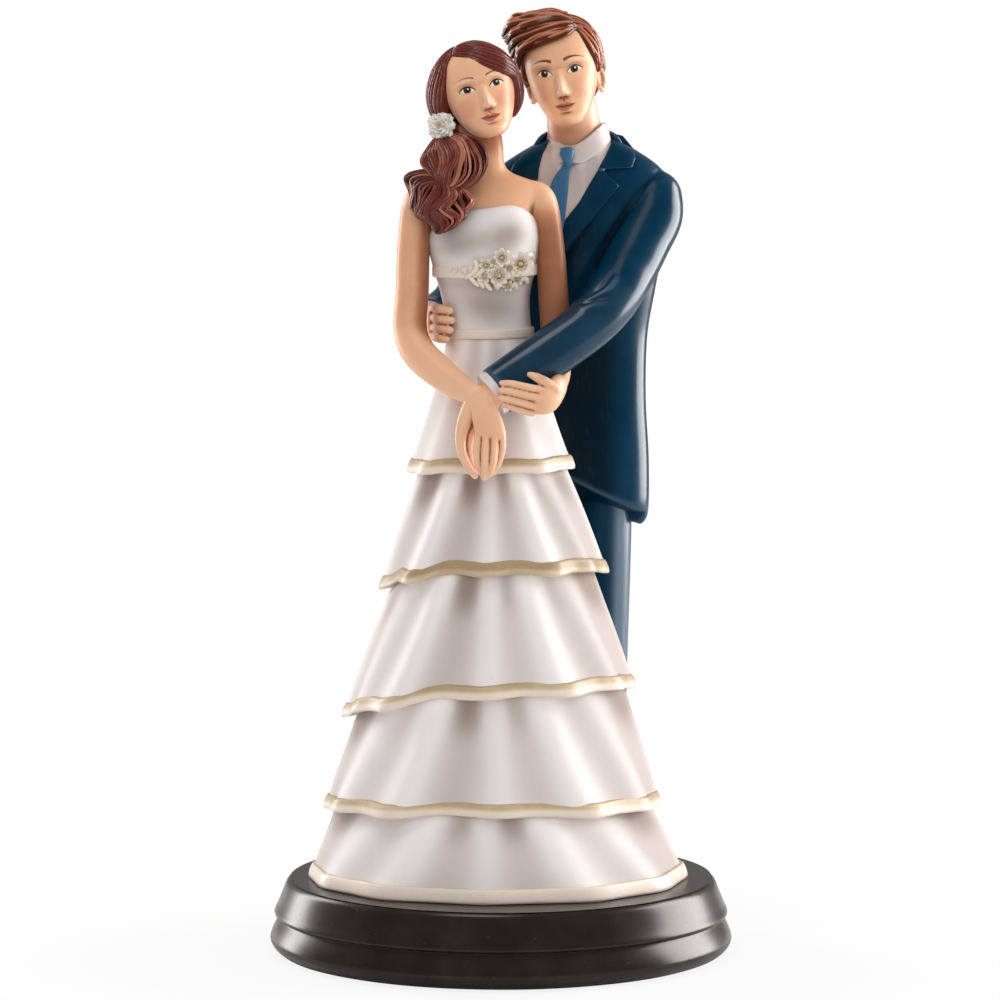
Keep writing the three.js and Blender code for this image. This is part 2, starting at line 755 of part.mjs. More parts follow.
// Shirt collar: a band round the neck, higher at the back and dipping to the tie
function shirtCollar() {
  const bottom = { x: 16.2, y: 13.6, half: 7.6, front: 7, back: 5.6 };
  const top = { x: 15.8, y: 13, half: 6.8, front: 6.2, back: 5.4 };
  const wall = 1.1;
  const dip = (angle) => 3.4 * Math.max(0, Math.cos(angle)) ** 2;
  const ring = (oval, base, more) =>
    turns(16).map((angle) => {
      const rise = 0.9 * Math.sin(angle) - dip(angle);
      return ovalPoint(oval, angle, base + rise + WAIST_HEIGHT, more);
    });
  return skin([ring(bottom, 38, 0), ring(top, 43, 0), ring(top, 43, -wall), ring(bottom, 38, -wall)], true);
}

// Jacket body, with its front cut away below the waist
const cutaway = (p, t) => {
  const front = Math.max(0, (JACKET[0][2] - p.y) / JACKET[0][4]);
  return t < 0.12 ? JACKET_CUTAWAY * front ** 2 * (1 - t / 0.12) : 0;
};

// An anticlockwise outline drawn in on every side
function inset(outline, by) {
  const points = outline.map(([x, z]) => new THREE.Vector2(x, z));
  const inward = points.map((p, i) => {
    const way = points[(i + 1) % points.length].clone().sub(p).normalize();
    return new THREE.Vector2(-way.y, way.x);
  });
  return points.map((p, i) => {
    const before = inward.at(i - 1);
    const corner = before.clone().add(inward[i]);
    const reach = by / (1 + before.dot(inward[i]));
    return [p.x + corner.x * reach, p.y + corner.y * reach];
  });
}

// The space between the lapels that shows the shirt
const shirtSpace = (margin) => prism(inset(SHIRT_VEE, margin), -10, JACKET[5][2] - 1.3);

// Castings in the order in which they take their place

const forms = {};
forms.bodice = torso(BODICE, { bend: (p, t) => NECKLINE_TILT * (p.x + 4) * t ** 3 });
forms.shoulders = torso(SHOULDERS, {
  sides: 18,
  bend: (p, t) => NECKLINE_TILT * (p.x + 4) * (1 - t) ** 3 + GLUE_LINE,
});
forms.jacket = torso(JACKET, { sides: 24, bend: cutaway });
forms.leftSleeve = limb(LEFT_SLEEVE, { sides: 10, wide: [0, 0, 1], domes: [true, false] });
forms.rightSleeve = limb(RIGHT_SLEEVE, { sides: 9, wide: [0, 0, 1], domes: [true, false] });
forms.rightArm = limb(BRIDE_RIGHT_ARM, { wide: [0, 1, 0], domes: [true, false] });
forms.leftArm = limb(BRIDE_LEFT_ARM, { wide: [1, 0, 0], domes: [true, false] });
forms.brideHead = posed(headForm(BRIDE_HEAD).add(nose(BRIDE_HEAD)), BRIDE_HEAD);
forms.groomSkull = posed(
  joined([headForm(GROOM_HEAD), nose(GROOM_HEAD), ear(GROOM_HEAD, -1), ear(GROOM_HEAD, 1)]),
  GROOM_HEAD,
);
forms.groomNeck = limb(GROOM_NECK, { sides: 10, domes: [false, false] });
forms.ponytail = limb(PONYTAIL, { sides: 9 });
forms.curls = limb(CURLS, { sides: 9 });
forms.flower = hairFlower();
forms.brideHair = hairCap(BRIDE_HEAD, BRIDE_HAIR_DEPTH, [-0.8, 2.2, 0.2]);
forms.groomHair = hairCap(GROOM_HEAD, GROOM_HAIR_DEPTH, [0, 2.4, 1.4]);
forms.quiff = limb(
  [
    [19, 3.6, 62, 2.4, 2.4],
    [12, 0.8, 64.6, 3.8, 3],
    [5, 2.2, 62.6, 4, 3.4],
    [2.4, 4, 60.6, 2.6, 2.2],
  ],
  { wide: [0, 1, 0], sides: 9 },
);
forms.collar = shirtCollar();
forms.rightHand = brideRightHand();
forms.leftHand = brideLeftHand();
forms.groomRightHand = groomRightHand();
forms.groomLeftHand = groomLeftHand();
forms.leftCuff = cuff(LEFT_SLEEVE);
forms.rightCuff = cuff(RIGHT_SLEEVE);
forms.ornament = sashOrnament();
forms.tiers = TIERS.map((_, index) => tierForm(index));

const ribbon = ({ low, high }) => layerOver(forms.bodice, RIBBON_PROUD).intersect(slab(low, high));
const lapel = (outline) =>
  layerOver(forms.jacket, LAPEL_THICKNESS).intersect(prism(outline, -10, JACKET[5][2] - 2));

const groomHead = forms.groomSkull.add(forms.groomNeck);
const shirt = grown(forms.jacket, -SHIRT_RECESS).intersect(shirtSpace(GLUE_LINE));
const belt = ribbon(WAIST_BELT);
const sash = ribbon(BUST_SASH);

const castings = {
  plinth: [plinth(), "plinth"],
  felt_pad: [feltPad(), "felt"],
};
const couple = {
  bodice: [forms.bodice, "dress"],
  waist_belt: [cutBy(belt, forms.groomRightHand, forms.leftArm), "ribbon"],
  bust_sash: [cutBy(sash, forms.ornament, forms.leftArm, forms.rightArm), "ribbon"],
  sash_ornament: [cutBy(forms.ornament, forms.bodice), "ornament"],
  bride_shoulders: [cutBy(forms.shoulders, forms.brideHead, forms.curls, forms.ponytail), "skin"],
  bride_right_arm: [
    cutBy(forms.rightArm, forms.shoulders, forms.bodice, forms.curls, forms.rightHand, forms.tiers[0]),
    "skin",
  ],
  bride_left_arm: [
    cutBy(forms.leftArm, forms.shoulders, forms.bodice, forms.leftSleeve, forms.leftHand, forms.tiers[0]),
    "skin",
  ],
  bride_right_hand: [cutBy(forms.rightHand, forms.tiers[0], forms.tiers[1]), "skin"],
  bride_left_hand: [cutBy(forms.leftHand, forms.leftSleeve, forms.leftCuff, forms.groomLeftHand), "skin"],
  bride_head: [forms.brideHead, "skin"],
  bride_hair: [
    cutBy(forms.brideHair, forms.brideHead, forms.shoulders, forms.groomSkull, forms.flower),
    "hair",
  ],
  bride_ponytail: [
    cutBy(forms.ponytail, forms.brideHead, forms.brideHair, forms.flower, forms.bodice),
    "hair",
  ],
  bride_curls: [cutBy(forms.curls, forms.ponytail, forms.bodice), "hair"],
  hair_flower: [cutBy(forms.flower, forms.brideHead), "petal"],
  groom_head: [cutBy(groomHead, forms.brideHead), "skin"],
  groom_hair: [
    cutBy(forms.groomHair.add(forms.quiff), groomHead, forms.brideHair, forms.collar, forms.brideHead),
    "hair",
  ],
  shirt_front: [cutBy(shirt, groomHead, forms.collar), "shirt"],
  shirt_collar: [cutBy(forms.collar, groomHead, forms.shoulders), "shirt"],
  tie: [
    cutBy(limb(TIE), shirt, forms.collar, forms.leftArm, forms.shoulders, forms.bodice),
    "tie",
  ],
  jacket: [
    cutBy(
      forms.jacket.subtract(shirtSpace(0)),
      forms.bodice,
      forms.shoulders,
      forms.collar,
      groomHead,
      ...forms.tiers,
      forms.leftArm,
    ),
    "jacket",
  ],
  left_lapel: [cutBy(lapel(LEFT_LAPEL), forms.collar, forms.leftSleeve, forms.leftArm), "jacket"],
  right_lapel: [cutBy(lapel(RIGHT_LAPEL), forms.collar, forms.shoulders, forms.rightSleeve), "jacket"],
  left_sleeve: [cutBy(forms.leftSleeve, forms.jacket, forms.tiers[0], forms.bodice), "jacket"],
  right_sleeve: [cutBy(forms.rightSleeve, forms.jacket, forms.bodice), "jacket"],
  left_cuff: [cutBy(forms.leftCuff, forms.leftSleeve, forms.tiers[0], forms.rightArm), "shirt"],
  right_cuff: [cutBy(forms.rightCuff, forms.rightSleeve, forms.rightArm), "shirt"],
  groom_left_hand: [
    cutBy(forms.groomLeftHand, forms.leftCuff, forms.tiers[0], forms.rightArm, forms.rightHand),
    "skin",
  ],
  groom_right_hand: [cutBy(forms.groomRightHand, forms.rightCuff, forms.bodice, forms.rightArm), "skin"],
};
TIERS.forEach((_, index) => {
  couple[`skirt_tier_${index + 1}`] = [skirtTier(index), "dress"];
  couple[`hem_band_${index + 1}`] = [hemBand(index), "band"];
});
for (const [name, side] of [["left", 1], ["right", -1]]) {
  const leg = trouserLeg(side);
  couple[`${name}_trouser_leg`] = [cutBy(leg, forms.jacket, ...forms.tiers), "trousers"];
  couple[`${name}_shoe`] = [cutBy(shoe(side), leg, ...forms.tiers), "shoe"];
}

// Finishes: colour, roughness
const FINISHES = {
  plinth: [0x1f1814, 0.35],
  felt: [0x14110f, 0.95],
  dress: [0xe9e2df, 0.45],
  band: [0xdccfb8, 0.4],
  ribbon: [0xd8cdbd, 0.45],
  ornament: [0xe0d8c6, 0.4],
  skin: [0xd9a27c, 0.45],
  hair: [0x6b3527, 0.5],
  petal: [0xe8e4da, 0.5],
  shirt: [0xe4dcd8, 0.5],
  tie: [0x2f6690, 0.45],
  jacket: [0x0d3350, 0.3],
  trousers: [0x123651, 0.35],
  shoe: [0x16110f, 0.3],
};

function meshOf(name, [solid, finish]) {
  const [color, roughness] = FINISHES[finish];
  const material = new THREE.MeshStandardMaterial({ color, roughness, metalness: 0 });
  const mesh = new THREE.Mesh(geometryOf(largest(solid)), material);
  mesh.name = name;
  return mesh;
}

const topper = new THREE.Group();
Object.entries(castings).forEach(([name, made]) => topper.add(meshOf(name, made)));
const figures = new THREE.Group();
figures.position.z = PLINTH_HEIGHT;
Object.entries(couple).forEach(([name, made]) => figures.add(meshOf(name, made)));
topper.add(figures);

export default topper;
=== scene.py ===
"""Looks of a wedding cake topper: a bride and groom in painted cast resin on a round stepped plinth.

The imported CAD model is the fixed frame. Lengths are millimetres unless a comment says otherwise.
The couple faces -Y with the bride on the -X side. Heights "above the waist" start at the bride's belt.
"""

import math

import bpy
import numpy as np
from mathutils import Euler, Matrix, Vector


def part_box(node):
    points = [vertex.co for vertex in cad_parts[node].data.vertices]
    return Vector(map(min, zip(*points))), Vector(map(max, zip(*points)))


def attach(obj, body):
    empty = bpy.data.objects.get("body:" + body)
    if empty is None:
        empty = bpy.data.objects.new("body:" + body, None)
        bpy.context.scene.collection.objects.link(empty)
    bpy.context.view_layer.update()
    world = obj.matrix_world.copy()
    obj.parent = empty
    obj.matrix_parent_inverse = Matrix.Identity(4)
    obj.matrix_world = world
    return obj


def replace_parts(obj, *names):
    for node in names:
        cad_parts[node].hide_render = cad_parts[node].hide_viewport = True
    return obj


bl_info = {
    "name": "Wedding cake topper",
    "version": (1, 0, 0),
    "blender": (4, 5, 0),
    "location": "View3D > Sidebar > Topper",
    "description": "Builds the painted surfaces of a resin bride and groom on a plinth",
    "category": "Object",
}

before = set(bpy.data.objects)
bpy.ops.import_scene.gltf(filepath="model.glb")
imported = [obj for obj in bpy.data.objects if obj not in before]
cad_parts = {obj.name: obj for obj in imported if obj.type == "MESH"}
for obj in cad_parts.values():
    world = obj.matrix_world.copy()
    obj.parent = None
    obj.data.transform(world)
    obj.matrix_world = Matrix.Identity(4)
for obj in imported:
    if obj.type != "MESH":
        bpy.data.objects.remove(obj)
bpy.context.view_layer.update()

MM = 0.001
BODY = "root"
PLINTH_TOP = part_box("plinth")[1].z / MM
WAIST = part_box("bodice")[0].z / MM
TO_WAIST = np.array((0, 0, WAIST))
TAU = 2 * math.pi


def linear(code):
    """A display colour such as d9a27c as linear red, green and blue."""
    parts = np.array([int(code[i : i + 2], 16) for i in (0, 2, 4)]) / 255
    return tuple(np.where(parts <= 0.04045, parts / 12.92, ((parts + 0.055) / 1.055) ** 2.4))


def plain(rgb):
    """A colour as linear numbers, whether it comes as those or as a display colour."""
    return linear(rgb) if isinstance(rgb, str) else rgb


# Surfaces as whole arrays


def smooth_through(stations, t):
    """Rows of values at t from 0 to 1: a cubic through every station, with slopes from its neighbours."""
    stations = np.asarray(stations, float)
    last = len(stations) - 1
    place = np.clip(np.asarray(t, float), 0, 1) * last
    i = np.minimum(place.astype(int), last - 1)
    u = (place - i)[..., None]
    a, b, c, d = (stations[np.clip(i + k, 0, last)] for k in (-1, 0, 1, 2))
    return b + 0.5 * u * (c - a + u * (2 * a - 5 * b + 4 * c - d + u * (3 * (b - c) + d - a)))


def unit(vectors):
    """Vectors divided by their lengths."""
    return vectors / np.maximum(np.linalg.norm(vectors, axis=-1, keepdims=True), 1e-12)


def bump(x, centre, width):
    """A bell curve of height 1."""
    return np.exp(-(((x - centre) / width) ** 2))


def ease(x, low, high):
    """0 below low, 1 above high, with a smooth step between."""
    t = np.clip((x - low) / (high - low), 0, 1)
    return t * t * (3 - 2 * t)


def turn(count):
    """Angles once round, without the last one."""
    return np.arange(count) * TAU / count


def grid_faces(rows, columns, looped=False):
    """Quads of a grid whose columns join up, and whose rows do too where it is looped."""
    r = np.arange(rows if looped else rows - 1)[:, None]
    c = np.arange(columns)[None, :]
    up, right = (r + 1) % rows, (c + 1) % columns
    quads = np.stack([r * columns + c, r * columns + right, up * columns + right, up * columns + c], -1)
    return quads.reshape(-1, 4)


class Skin:
    """Points and quads of one or more closed surfaces that make one piece."""

    def __init__(self):
        self.points, self.faces, self.count = [], [], 0
        self.marks = {}

    def grid(self, rings, looped=False, **marks):
        """Adds a stack of rings. An open stack gets its first and last ring drawn to their middles."""
        rows, columns = rings.shape[:2]
        if not looped:
            low, high = rings[:1].mean(1, keepdims=True), rings[-1:].mean(1, keepdims=True)
            ends = [low + (rings[:1] - low) * 0.001, rings, high + (rings[-1:] - high) * 0.001]
            rings = np.concatenate(ends)
            marks = {k: np.concatenate([v[:1], v, v[-1:]]) for k, v in marks.items()}
            rows += 2
        faces = grid_faces(rows, columns, looped)
        flat = rings.reshape(-1, 3)
        corners = flat[faces]
        across = np.cross(corners[:, 2] - corners[:, 0], corners[:, 3] - corners[:, 1])
        volume = np.einsum("ij,ij->i", corners.mean(1) - flat.mean(0), across).sum()
        self.faces.append((faces if volume > 0 else faces[:, ::-1]) + self.count)
        for key in set(self.marks) | set(marks):
            self.marks.setdefault(key, []).append((self.count, marks.get(key)))
        self.points.append(flat)
        self.count += len(flat)
        return self

    def made(self, name):
        """The piece as an object with its place in its mesh."""
        points = np.concatenate(self.points) * MM
        faces = np.concatenate(self.faces)
        mesh = bpy.data.meshes.new(name)
        mesh.vertices.add(len(points))
        mesh.vertices.foreach_set("co", points.astype(np.float32).ravel())
        mesh.loops.add(faces.size)
        mesh.loops.foreach_set("vertex_index", faces.astype(np.int32).ravel())
        mesh.polygons.add(len(faces))
        mesh.polygons.foreach_set("loop_start", np.arange(0, faces.size, 4, dtype=np.int32))
        mesh.polygons.foreach_set("loop_total", np.full(len(faces), 4, np.int32))
        mesh.update(calc_edges=True)
        for key, parts in self.marks.items():
            values = np.zeros(self.count)
            for start, part in parts:
                if part is not None:
                    values[start : start + part.size] = part.ravel()
            mark(mesh, key, values)
        mesh.shade_smooth()
        piece = bpy.data.objects.new(name, mesh)
        bpy.context.scene.collection.objects.link(piece)
        return piece


def mark(mesh, name, values):
    """Stores one number or one vector a point as an attribute that materials read."""
    values = np.asarray(values, np.float32)
    kind, field = ("FLOAT", "value") if values.ndim == 1 else ("FLOAT_VECTOR", "vector")
    layer = mesh.attributes.get(name) or mesh.attributes.new(name, kind, "POINT")
    layer.data.foreach_set(field, values.ravel())


def points_of(mesh):
    """The mesh's points in millimetres."""
    flat = np.empty(len(mesh.vertices) * 3, np.float32)
    mesh.vertices.foreach_get("co", flat)
    return flat.reshape(-1, 3).astype(float) / MM


def normals_of(mesh):
    """The mesh's outward directions, one a point."""
    flat = np.empty(len(mesh.vertices) * 3, np.float32)
    mesh.vertex_normals.foreach_get("vector", flat)
    return flat.reshape(-1, 3).astype(float)


def move(piece, points):
    """Puts the piece's points at new places in millimetres."""
    piece.data.vertices.foreach_set("co", (points * MM).astype(np.float32).ravel())
    piece.data.update()
    return piece


def averaged(mesh, points, passes, weight=0.5):
    """The points after some passes in which each goes a share of the way to its neighbours' mean."""
    edges = np.empty(len(mesh.edges) * 2, np.int32)
    mesh.edges.foreach_get("vertices", edges)
    a, b = edges.reshape(-1, 2).T
    ends, others = np.concatenate([a, b]), np.concatenate([b, a])
    count = len(points)
    share = np.maximum(np.bincount(ends, minlength=count), 1)[:, None]
    for _ in range(passes):
        sums = [np.bincount(ends, points[others, k], count) for k in range(3)]
        points = points + weight * (np.stack(sums, 1) / share - points)
    return points


def mark_hollows(piece, passes=24):
    """Marks how deep each point lies in a hollow, in millimetres.

    The points are averaged with their neighbours for some passes. A point in a hollow moves outwards then,
    and one on a ridge inwards, and its mark is that move along its normal.
    """
    mesh = piece.data
    start = points_of(mesh)
    moved = averaged(mesh, start, passes)
    mark(mesh, "hollow", np.einsum("ij,ij->i", moved - start, normals_of(mesh)))
    return piece


def fused(piece, voxel, passes):
    """Melts the piece's surfaces into one skin: a voxel remesh, then some rounds of smoothing."""
    remesh = piece.modifiers.new("melt", "REMESH")
    remesh.mode = "VOXEL"
    remesh.voxel_size = voxel * MM
    remesh.use_smooth_shade = True
    soften = piece.modifiers.new("soften", "SMOOTH")
    soften.factor = 0.5
    soften.iterations = passes
    bpy.context.view_layer.update()
    done = bpy.data.meshes.new_from_object(piece.evaluated_get(bpy.context.evaluated_depsgraph_get()))
    piece.modifiers.clear()
    piece.data = done
    done.shade_smooth()
    return piece


def strip(path, outward, wide, thick, columns, profile=None):
    """A flattened ring carried along a line: wide across the outward way, and thick along it.

    The outward way is first turned square to the line. A profile is a function of angle that the ring's
    radius is multiplied by.
    """
    tangents = unit(np.gradient(path, axis=0))
    out = unit(outward - np.einsum("ij,ij->i", outward, tangents)[:, None] * tangents)
    across = np.cross(out, tangents)
    angle = turn(columns)
    shape = 1 if profile is None else profile(angle)
    side = (np.cos(angle) * shape)[None, :, None] * (wide[:, None, None] * across[:, None, :])
    lift = (np.sin(angle) * shape)[None, :, None] * (thick[:, None, None] * out[:, None, :])
    return path[:, None, :] + side + lift


def limb(stations, rows, columns, wide=(1, 0, 0), domes=(True, True), swell=None):
    """A ring carried along the smooth line through stations of [x, y, z, radius] or [x, y, z, wide, thick].

    Its wide way lies along the given vector. A domed end runs on along a quarter circle. The swell is a
    function of place along the limb and angle round it that is added to the radius.
    """
    full = np.array([[*s, s[3]] if len(s) == 4 else s for s in stations], float)
    t = np.linspace(0, 1, rows)
    values = smooth_through(full, t)
    path, a, b = values[:, :3], values[:, 3], values[:, 4]
    tangents = unit(np.gradient(path, axis=0))
    thick_way = unit(np.cross(tangents, np.array(wide, float)))
    wide_way = np.cross(thick_way, tangents)
    angle = turn(columns)
    more = np.zeros((rows, columns)) if swell is None else swell(t[:, None], angle[None, :])
    ring_a = (a[:, None] + more) * np.cos(angle)
    ring_b = (b[:, None] + more) * np.sin(angle)
    offsets = ring_a[..., None] * wide_way[:, None] + ring_b[..., None] * thick_way[:, None]
    rings = path[:, None] + offsets
    arc = np.linspace(0, 0.5 * math.pi, 9)[1:-1, None, None]
    if domes[0]:
        tip = path[:1, None] - tangents[:1, None] * np.minimum(a, b)[0] * np.sin(arc)
        rings = np.concatenate([(tip + offsets[:1] * np.cos(arc))[::-1], rings])
    if domes[1]:
        tip = path[-1:, None] + tangents[-1:, None] * np.minimum(a, b)[-1] * np.sin(arc)
        rings = np.concatenate([rings, tip + offsets[-1:] * np.cos(arc)])
    return rings + TO_WAIST


def oval(x, y, half, front, back, angle):
    """Across and along places on an oval. Angle 0 faces the front, and grows towards +X."""
    reach = np.where(np.cos(angle) > 0, front, back)
    return x + half * np.sin(angle), y - reach * np.cos(angle)


# Shader maths


class Term:
    """A socket whose arithmetic adds Math nodes."""

    def __init__(self, paint, socket):
        self.paint, self.socket = paint, socket

    def math(self, operation, first, second=0.0):
        """Adds a Math node."""
        return self.paint.node("ShaderNodeMath", {"operation": operation}, {0: first, 1: second})

    def __add__(self, other):
        return self.math("ADD", self, other)

    def __sub__(self, other):
        return self.math("SUBTRACT", self, other)

    def __rsub__(self, other):
        return self.math("SUBTRACT", other, self)

    def __mul__(self, other):
        return self.math("MULTIPLY", self, other)

    def __truediv__(self, other):
        return self.math("DIVIDE", self, other)

    def __pow__(self, other):
        return self.math("POWER", self, other)

    def __neg__(self):
        return self * -1.0

    def __abs__(self):
        return self.math("ABSOLUTE", self)

    __radd__, __rmul__ = __add__, __mul__

    def most(self, other):
        """The larger of the two."""
        return self.math("MAXIMUM", self, other)

    def step(self, low, high):
        """0 at low and 1 at high, with a smooth step between."""
        settings = {"interpolation_type": "SMOOTHSTEP"}
        return self.paint.node("ShaderNodeMapRange", settings, {0: self, 1: low, 2: high})


class Paint:
    """A material under construction, with one method that adds any node."""

    def __init__(self, name, coat=0.0, specular=0.5):
        self.material = bpy.data.materials.new(name)
        self.material.use_nodes = True
        self.tree = self.material.node_tree
        self.shader = self.tree.nodes["Principled BSDF"]
        self.set("Coat Weight", coat)
        self.set("Specular IOR Level", specular)

    def node(self, kind, settings=None, inputs=None, output=0):
        """Adds a node, sets its settings, fills or links its sockets, and gives one output as a Term."""
        made = self.tree.nodes.new(kind)
        for key, value in (settings or {}).items():
            setattr(made, key, value)
        for key, value in (inputs or {}).items():
            self.feed(made.inputs[key], value)
        return Term(self, made.outputs[output])

    def feed(self, socket, value):
        """Links a Term to a socket, or sets the socket to a plain value or a colour."""
        if isinstance(value, Term):
            self.tree.links.new(value.socket, socket)
        else:
            socket.default_value = (*plain(value), 1) if socket.type == "RGBA" else value

    def set(self, name, value):
        """Feeds a socket of the main shader."""
        self.feed(self.shader.inputs[name], value)
        return self

    def place(self):
        """The place on the piece, in metres."""
        return self.node("ShaderNodeTexCoord", output="Object")

    def stored(self, name, output="Fac"):
        """A mark that the mesh carries."""
        return self.node("ShaderNodeAttribute", {"attribute_name": name}, output=output)

    def noise(self, size, detail=3.0, stretch=(1, 1, 1)):
        """Cloudy values about 0.5, with blots of a size in millimetres."""
        scale = tuple(s / (size * MM) for s in stretch)
        at = self.node("ShaderNodeMapping", inputs={"Vector": self.place(), "Scale": scale})
        return self.node("ShaderNodeTexNoise", inputs={"Vector": at, "Scale": 1.0, "Detail": detail})

    def mix(self, factor, first, second):
        """A colour a share of the way from the first to the second."""
        sockets = {0: factor, 6: first, 7: second}
        return self.node("ShaderNodeMix", {"data_type": "RGBA"}, sockets, output=2)

    def finish(self, tone, roughness, height, distance, strength):
        """Sets colour, roughness, and bump from a height of 0 to 1 as deep as a distance in millimetres."""
        sockets = {"Strength": strength, "Distance": distance * MM, "Height": height}
        self.set("Base Color", tone)
        self.set("Roughness", roughness)
        return self.set("Normal", self.node("ShaderNodeBump", inputs=sockets))


def painted(name, base, shade, light, roughness, coat=0.0):
    """Brushed acrylic over resin: a base, painted shade in the hollows, and painted highlight on the
    ridges.

    The brush leaves faint streaks and blots in colour, roughness and relief.
    """
    paint = Paint(name, coat)
    depth = paint.stored("hollow")
    blots = paint.noise(5, 4)
    streaks = paint.noise(0.7, 3, (1, 1, 0.25))
    # Painted shade: the hollows go towards the shade colour
    shade_wash = (depth + (blots - 0.5) * 0.05).step(0.02, 0.22)
    tone = paint.mix(shade_wash, base, shade)
    # Painted highlight: the ridges go towards the light colour
    tone = paint.mix((-depth).step(0.02, 0.2) * 0.75, tone, light)
    tone = paint.mix((blots - 0.4) * 0.35, tone, shade)
    rough = roughness - 0.05 + blots * 0.1 + streaks * 0.06 + shade_wash * 0.06
    return paint.finish(tone, rough, streaks * 0.6 + blots * 0.4, 0.05, 0.35)


# Sizes and colours


def tint(name, description, code):
    """A colour that a user can change."""
    return bpy.props.FloatVectorProperty(
        name=name, description=description, subtype="COLOR", size=3, min=0, max=1, default=linear(code)
    )


def length(name, description, millimetres):
    """A length that a user can change, in metres with a display in the scene's units."""
    return bpy.props.FloatProperty(
        name=name, description=description, default=millimetres * MM, min=0, unit="LENGTH", precision=5
    )


class TopperColours(bpy.types.PropertyGroup):
    """Paints of the topper."""

    plinth: tint("Plinth", "Lacquer of the plinth", "1d0c06")
    dress: tint("Dress", "Skirt and bodice", "fbf5f2")
    band: tint("Bands", "Hem bands and ribbons", "e8d4b6")
    skin: tint("Skin", "Skin of both figures", "f4bc94")
    bride_hair: tint("Bride's hair", "Hair of the bride", "6c2a22")
    groom_hair: tint("Groom's hair", "Hair of the groom", "8a4120")
    suit: tint("Suit", "Jacket and trousers", "00344e")
    tie: tint("Tie", "Tie of the groom", "2f6690")
    shirt: tint("Shirt", "Shirt, collar and cuffs", "dbd1ce")
    shoe: tint("Shoes", "Shoes of the groom", "1b1a1c")
    backdrop: tint("Backdrop", "Floor and background", "ffffff")


class TopperSizes(bpy.types.PropertyGroup):
    """Reliefs of the topper that hardly change its outline."""

    fold_depth: length("Fold depth", "How far the skirt's folds stand out", 3.0)
    band_height: length("Band height", "Height of the hem bands", 3.0)
    groove_depth: length("Hair groove depth", "Depth of the grooves between strands", 0.42)
    bust_relief: length("Bust relief", "How far the bodice swells in front", 0.9)
    voxel: length("Melt size", "Grain of the melted skin and cloth", 0.24)


def colour(name):
    """One of the scene's colours."""
    return tuple(getattr(bpy.context.scene.topper_colours, name))


def size(name):
    """One of the scene's sizes, in millimetres."""
    return getattr(bpy.context.scene.topper_sizes, name) / MM


def toned(rgb, factor, towards=(0, 0, 0)):
    """A colour moved a share of the way towards another."""
    return tuple(c + (t - c) * factor for c, t in zip(plain(rgb), plain(towards)))


def dressed(piece, paint, slot, *nodes):
    """Gives a finished piece its paint and its body, and hides the CAD nodes that it stands for. The slot
    is not used.
    """
    piece.data.materials.clear()
    piece.data.materials.append(paint.material)
    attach(piece, BODY)
    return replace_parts(piece, *nodes)


# Plinth

PLINTH_PROFILE = (
    (0, 16), (30, 16), (43.6, 16), (44.7, 15.9), (45.5, 15.3), (46.0, 14.4), (46.7, 12.6), (47.5, 10.6),
    (48.2, 9.1), (48.25, 8.5), (47.9, 8.1), (47.35, 7.85), (47.4, 7.5), (47.9, 6.6), (48.6, 5.2),
    (49.1, 3.8), (49.15, 2.9), (48.7, 1.9), (47.7, 0.9), (46.6, 0.35), (44.6, 0.3), (30, 0.3), (0, 0.3),
)


class TOPPER_OT_plinth(bpy.types.Operator):
    """Turns the plinth and paints its felt pad"""

    bl_idname = "topper.plinth"
    bl_label = "Plinth"

    def execute(self, context):
        """The profile of [radius, height] turned once round, with a slow waver of the hand-rubbed edge."""
        profile = smooth_through(PLINTH_PROFILE, np.linspace(0, 1, 150))
        angle = turn(240)
        waver = 0.05 * np.sin(5 * angle + 1) + 0.04 * np.sin(11 * angle)
        radius = profile[:, :1] * (1 + waver / 48)
        height = profile[:, 1:] + 0 * angle
        rings = np.stack([radius * np.sin(angle), -radius * np.cos(angle), height], -1)
        plinth = Skin().grid(rings[1:-1]).made("plinth_block")
        paint = Paint("lacquer", coat=0.7, specular=0.03)
        paint.set("Coat Roughness", 0.25)
        dark = colour("plinth")
        cloud = paint.noise(9, 4)
        brush = paint.noise(1.6, 4, (1, 1, 5))
        scuffs = paint.noise(2.2, 6, (1, 1, 3)).step(0.66, 0.78)
        shade = paint.mix(cloud.step(0.3, 0.75), toned(dark, 0.25), toned(dark, 0.008, (1, 0.9, 0.85)))
        tone = paint.mix(scuffs * 0.3, shade, toned(dark, 0.12, (1, 0.95, 0.9)))
        rough = 0.27 + cloud * 0.08 + brush * 0.08 + scuffs * 0.12
        paint.finish(tone, rough, brush * 0.7 + cloud * 0.3, 0.08, 0.4)
        dressed(plinth, paint, "plinth", "plinth")
        felt = Paint("felt")
        fibres = felt.noise(0.35, 5)
        tone = felt.mix(fibres, "1c1a1b", "4a4648")
        felt.finish(tone, 0.85 + fibres * 0.15, fibres, 0.15, 1)
        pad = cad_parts["felt_pad"]
        pad.data.materials.clear()
        pad.data.materials.append(felt.material)
        return {"FINISHED"}


# Dress

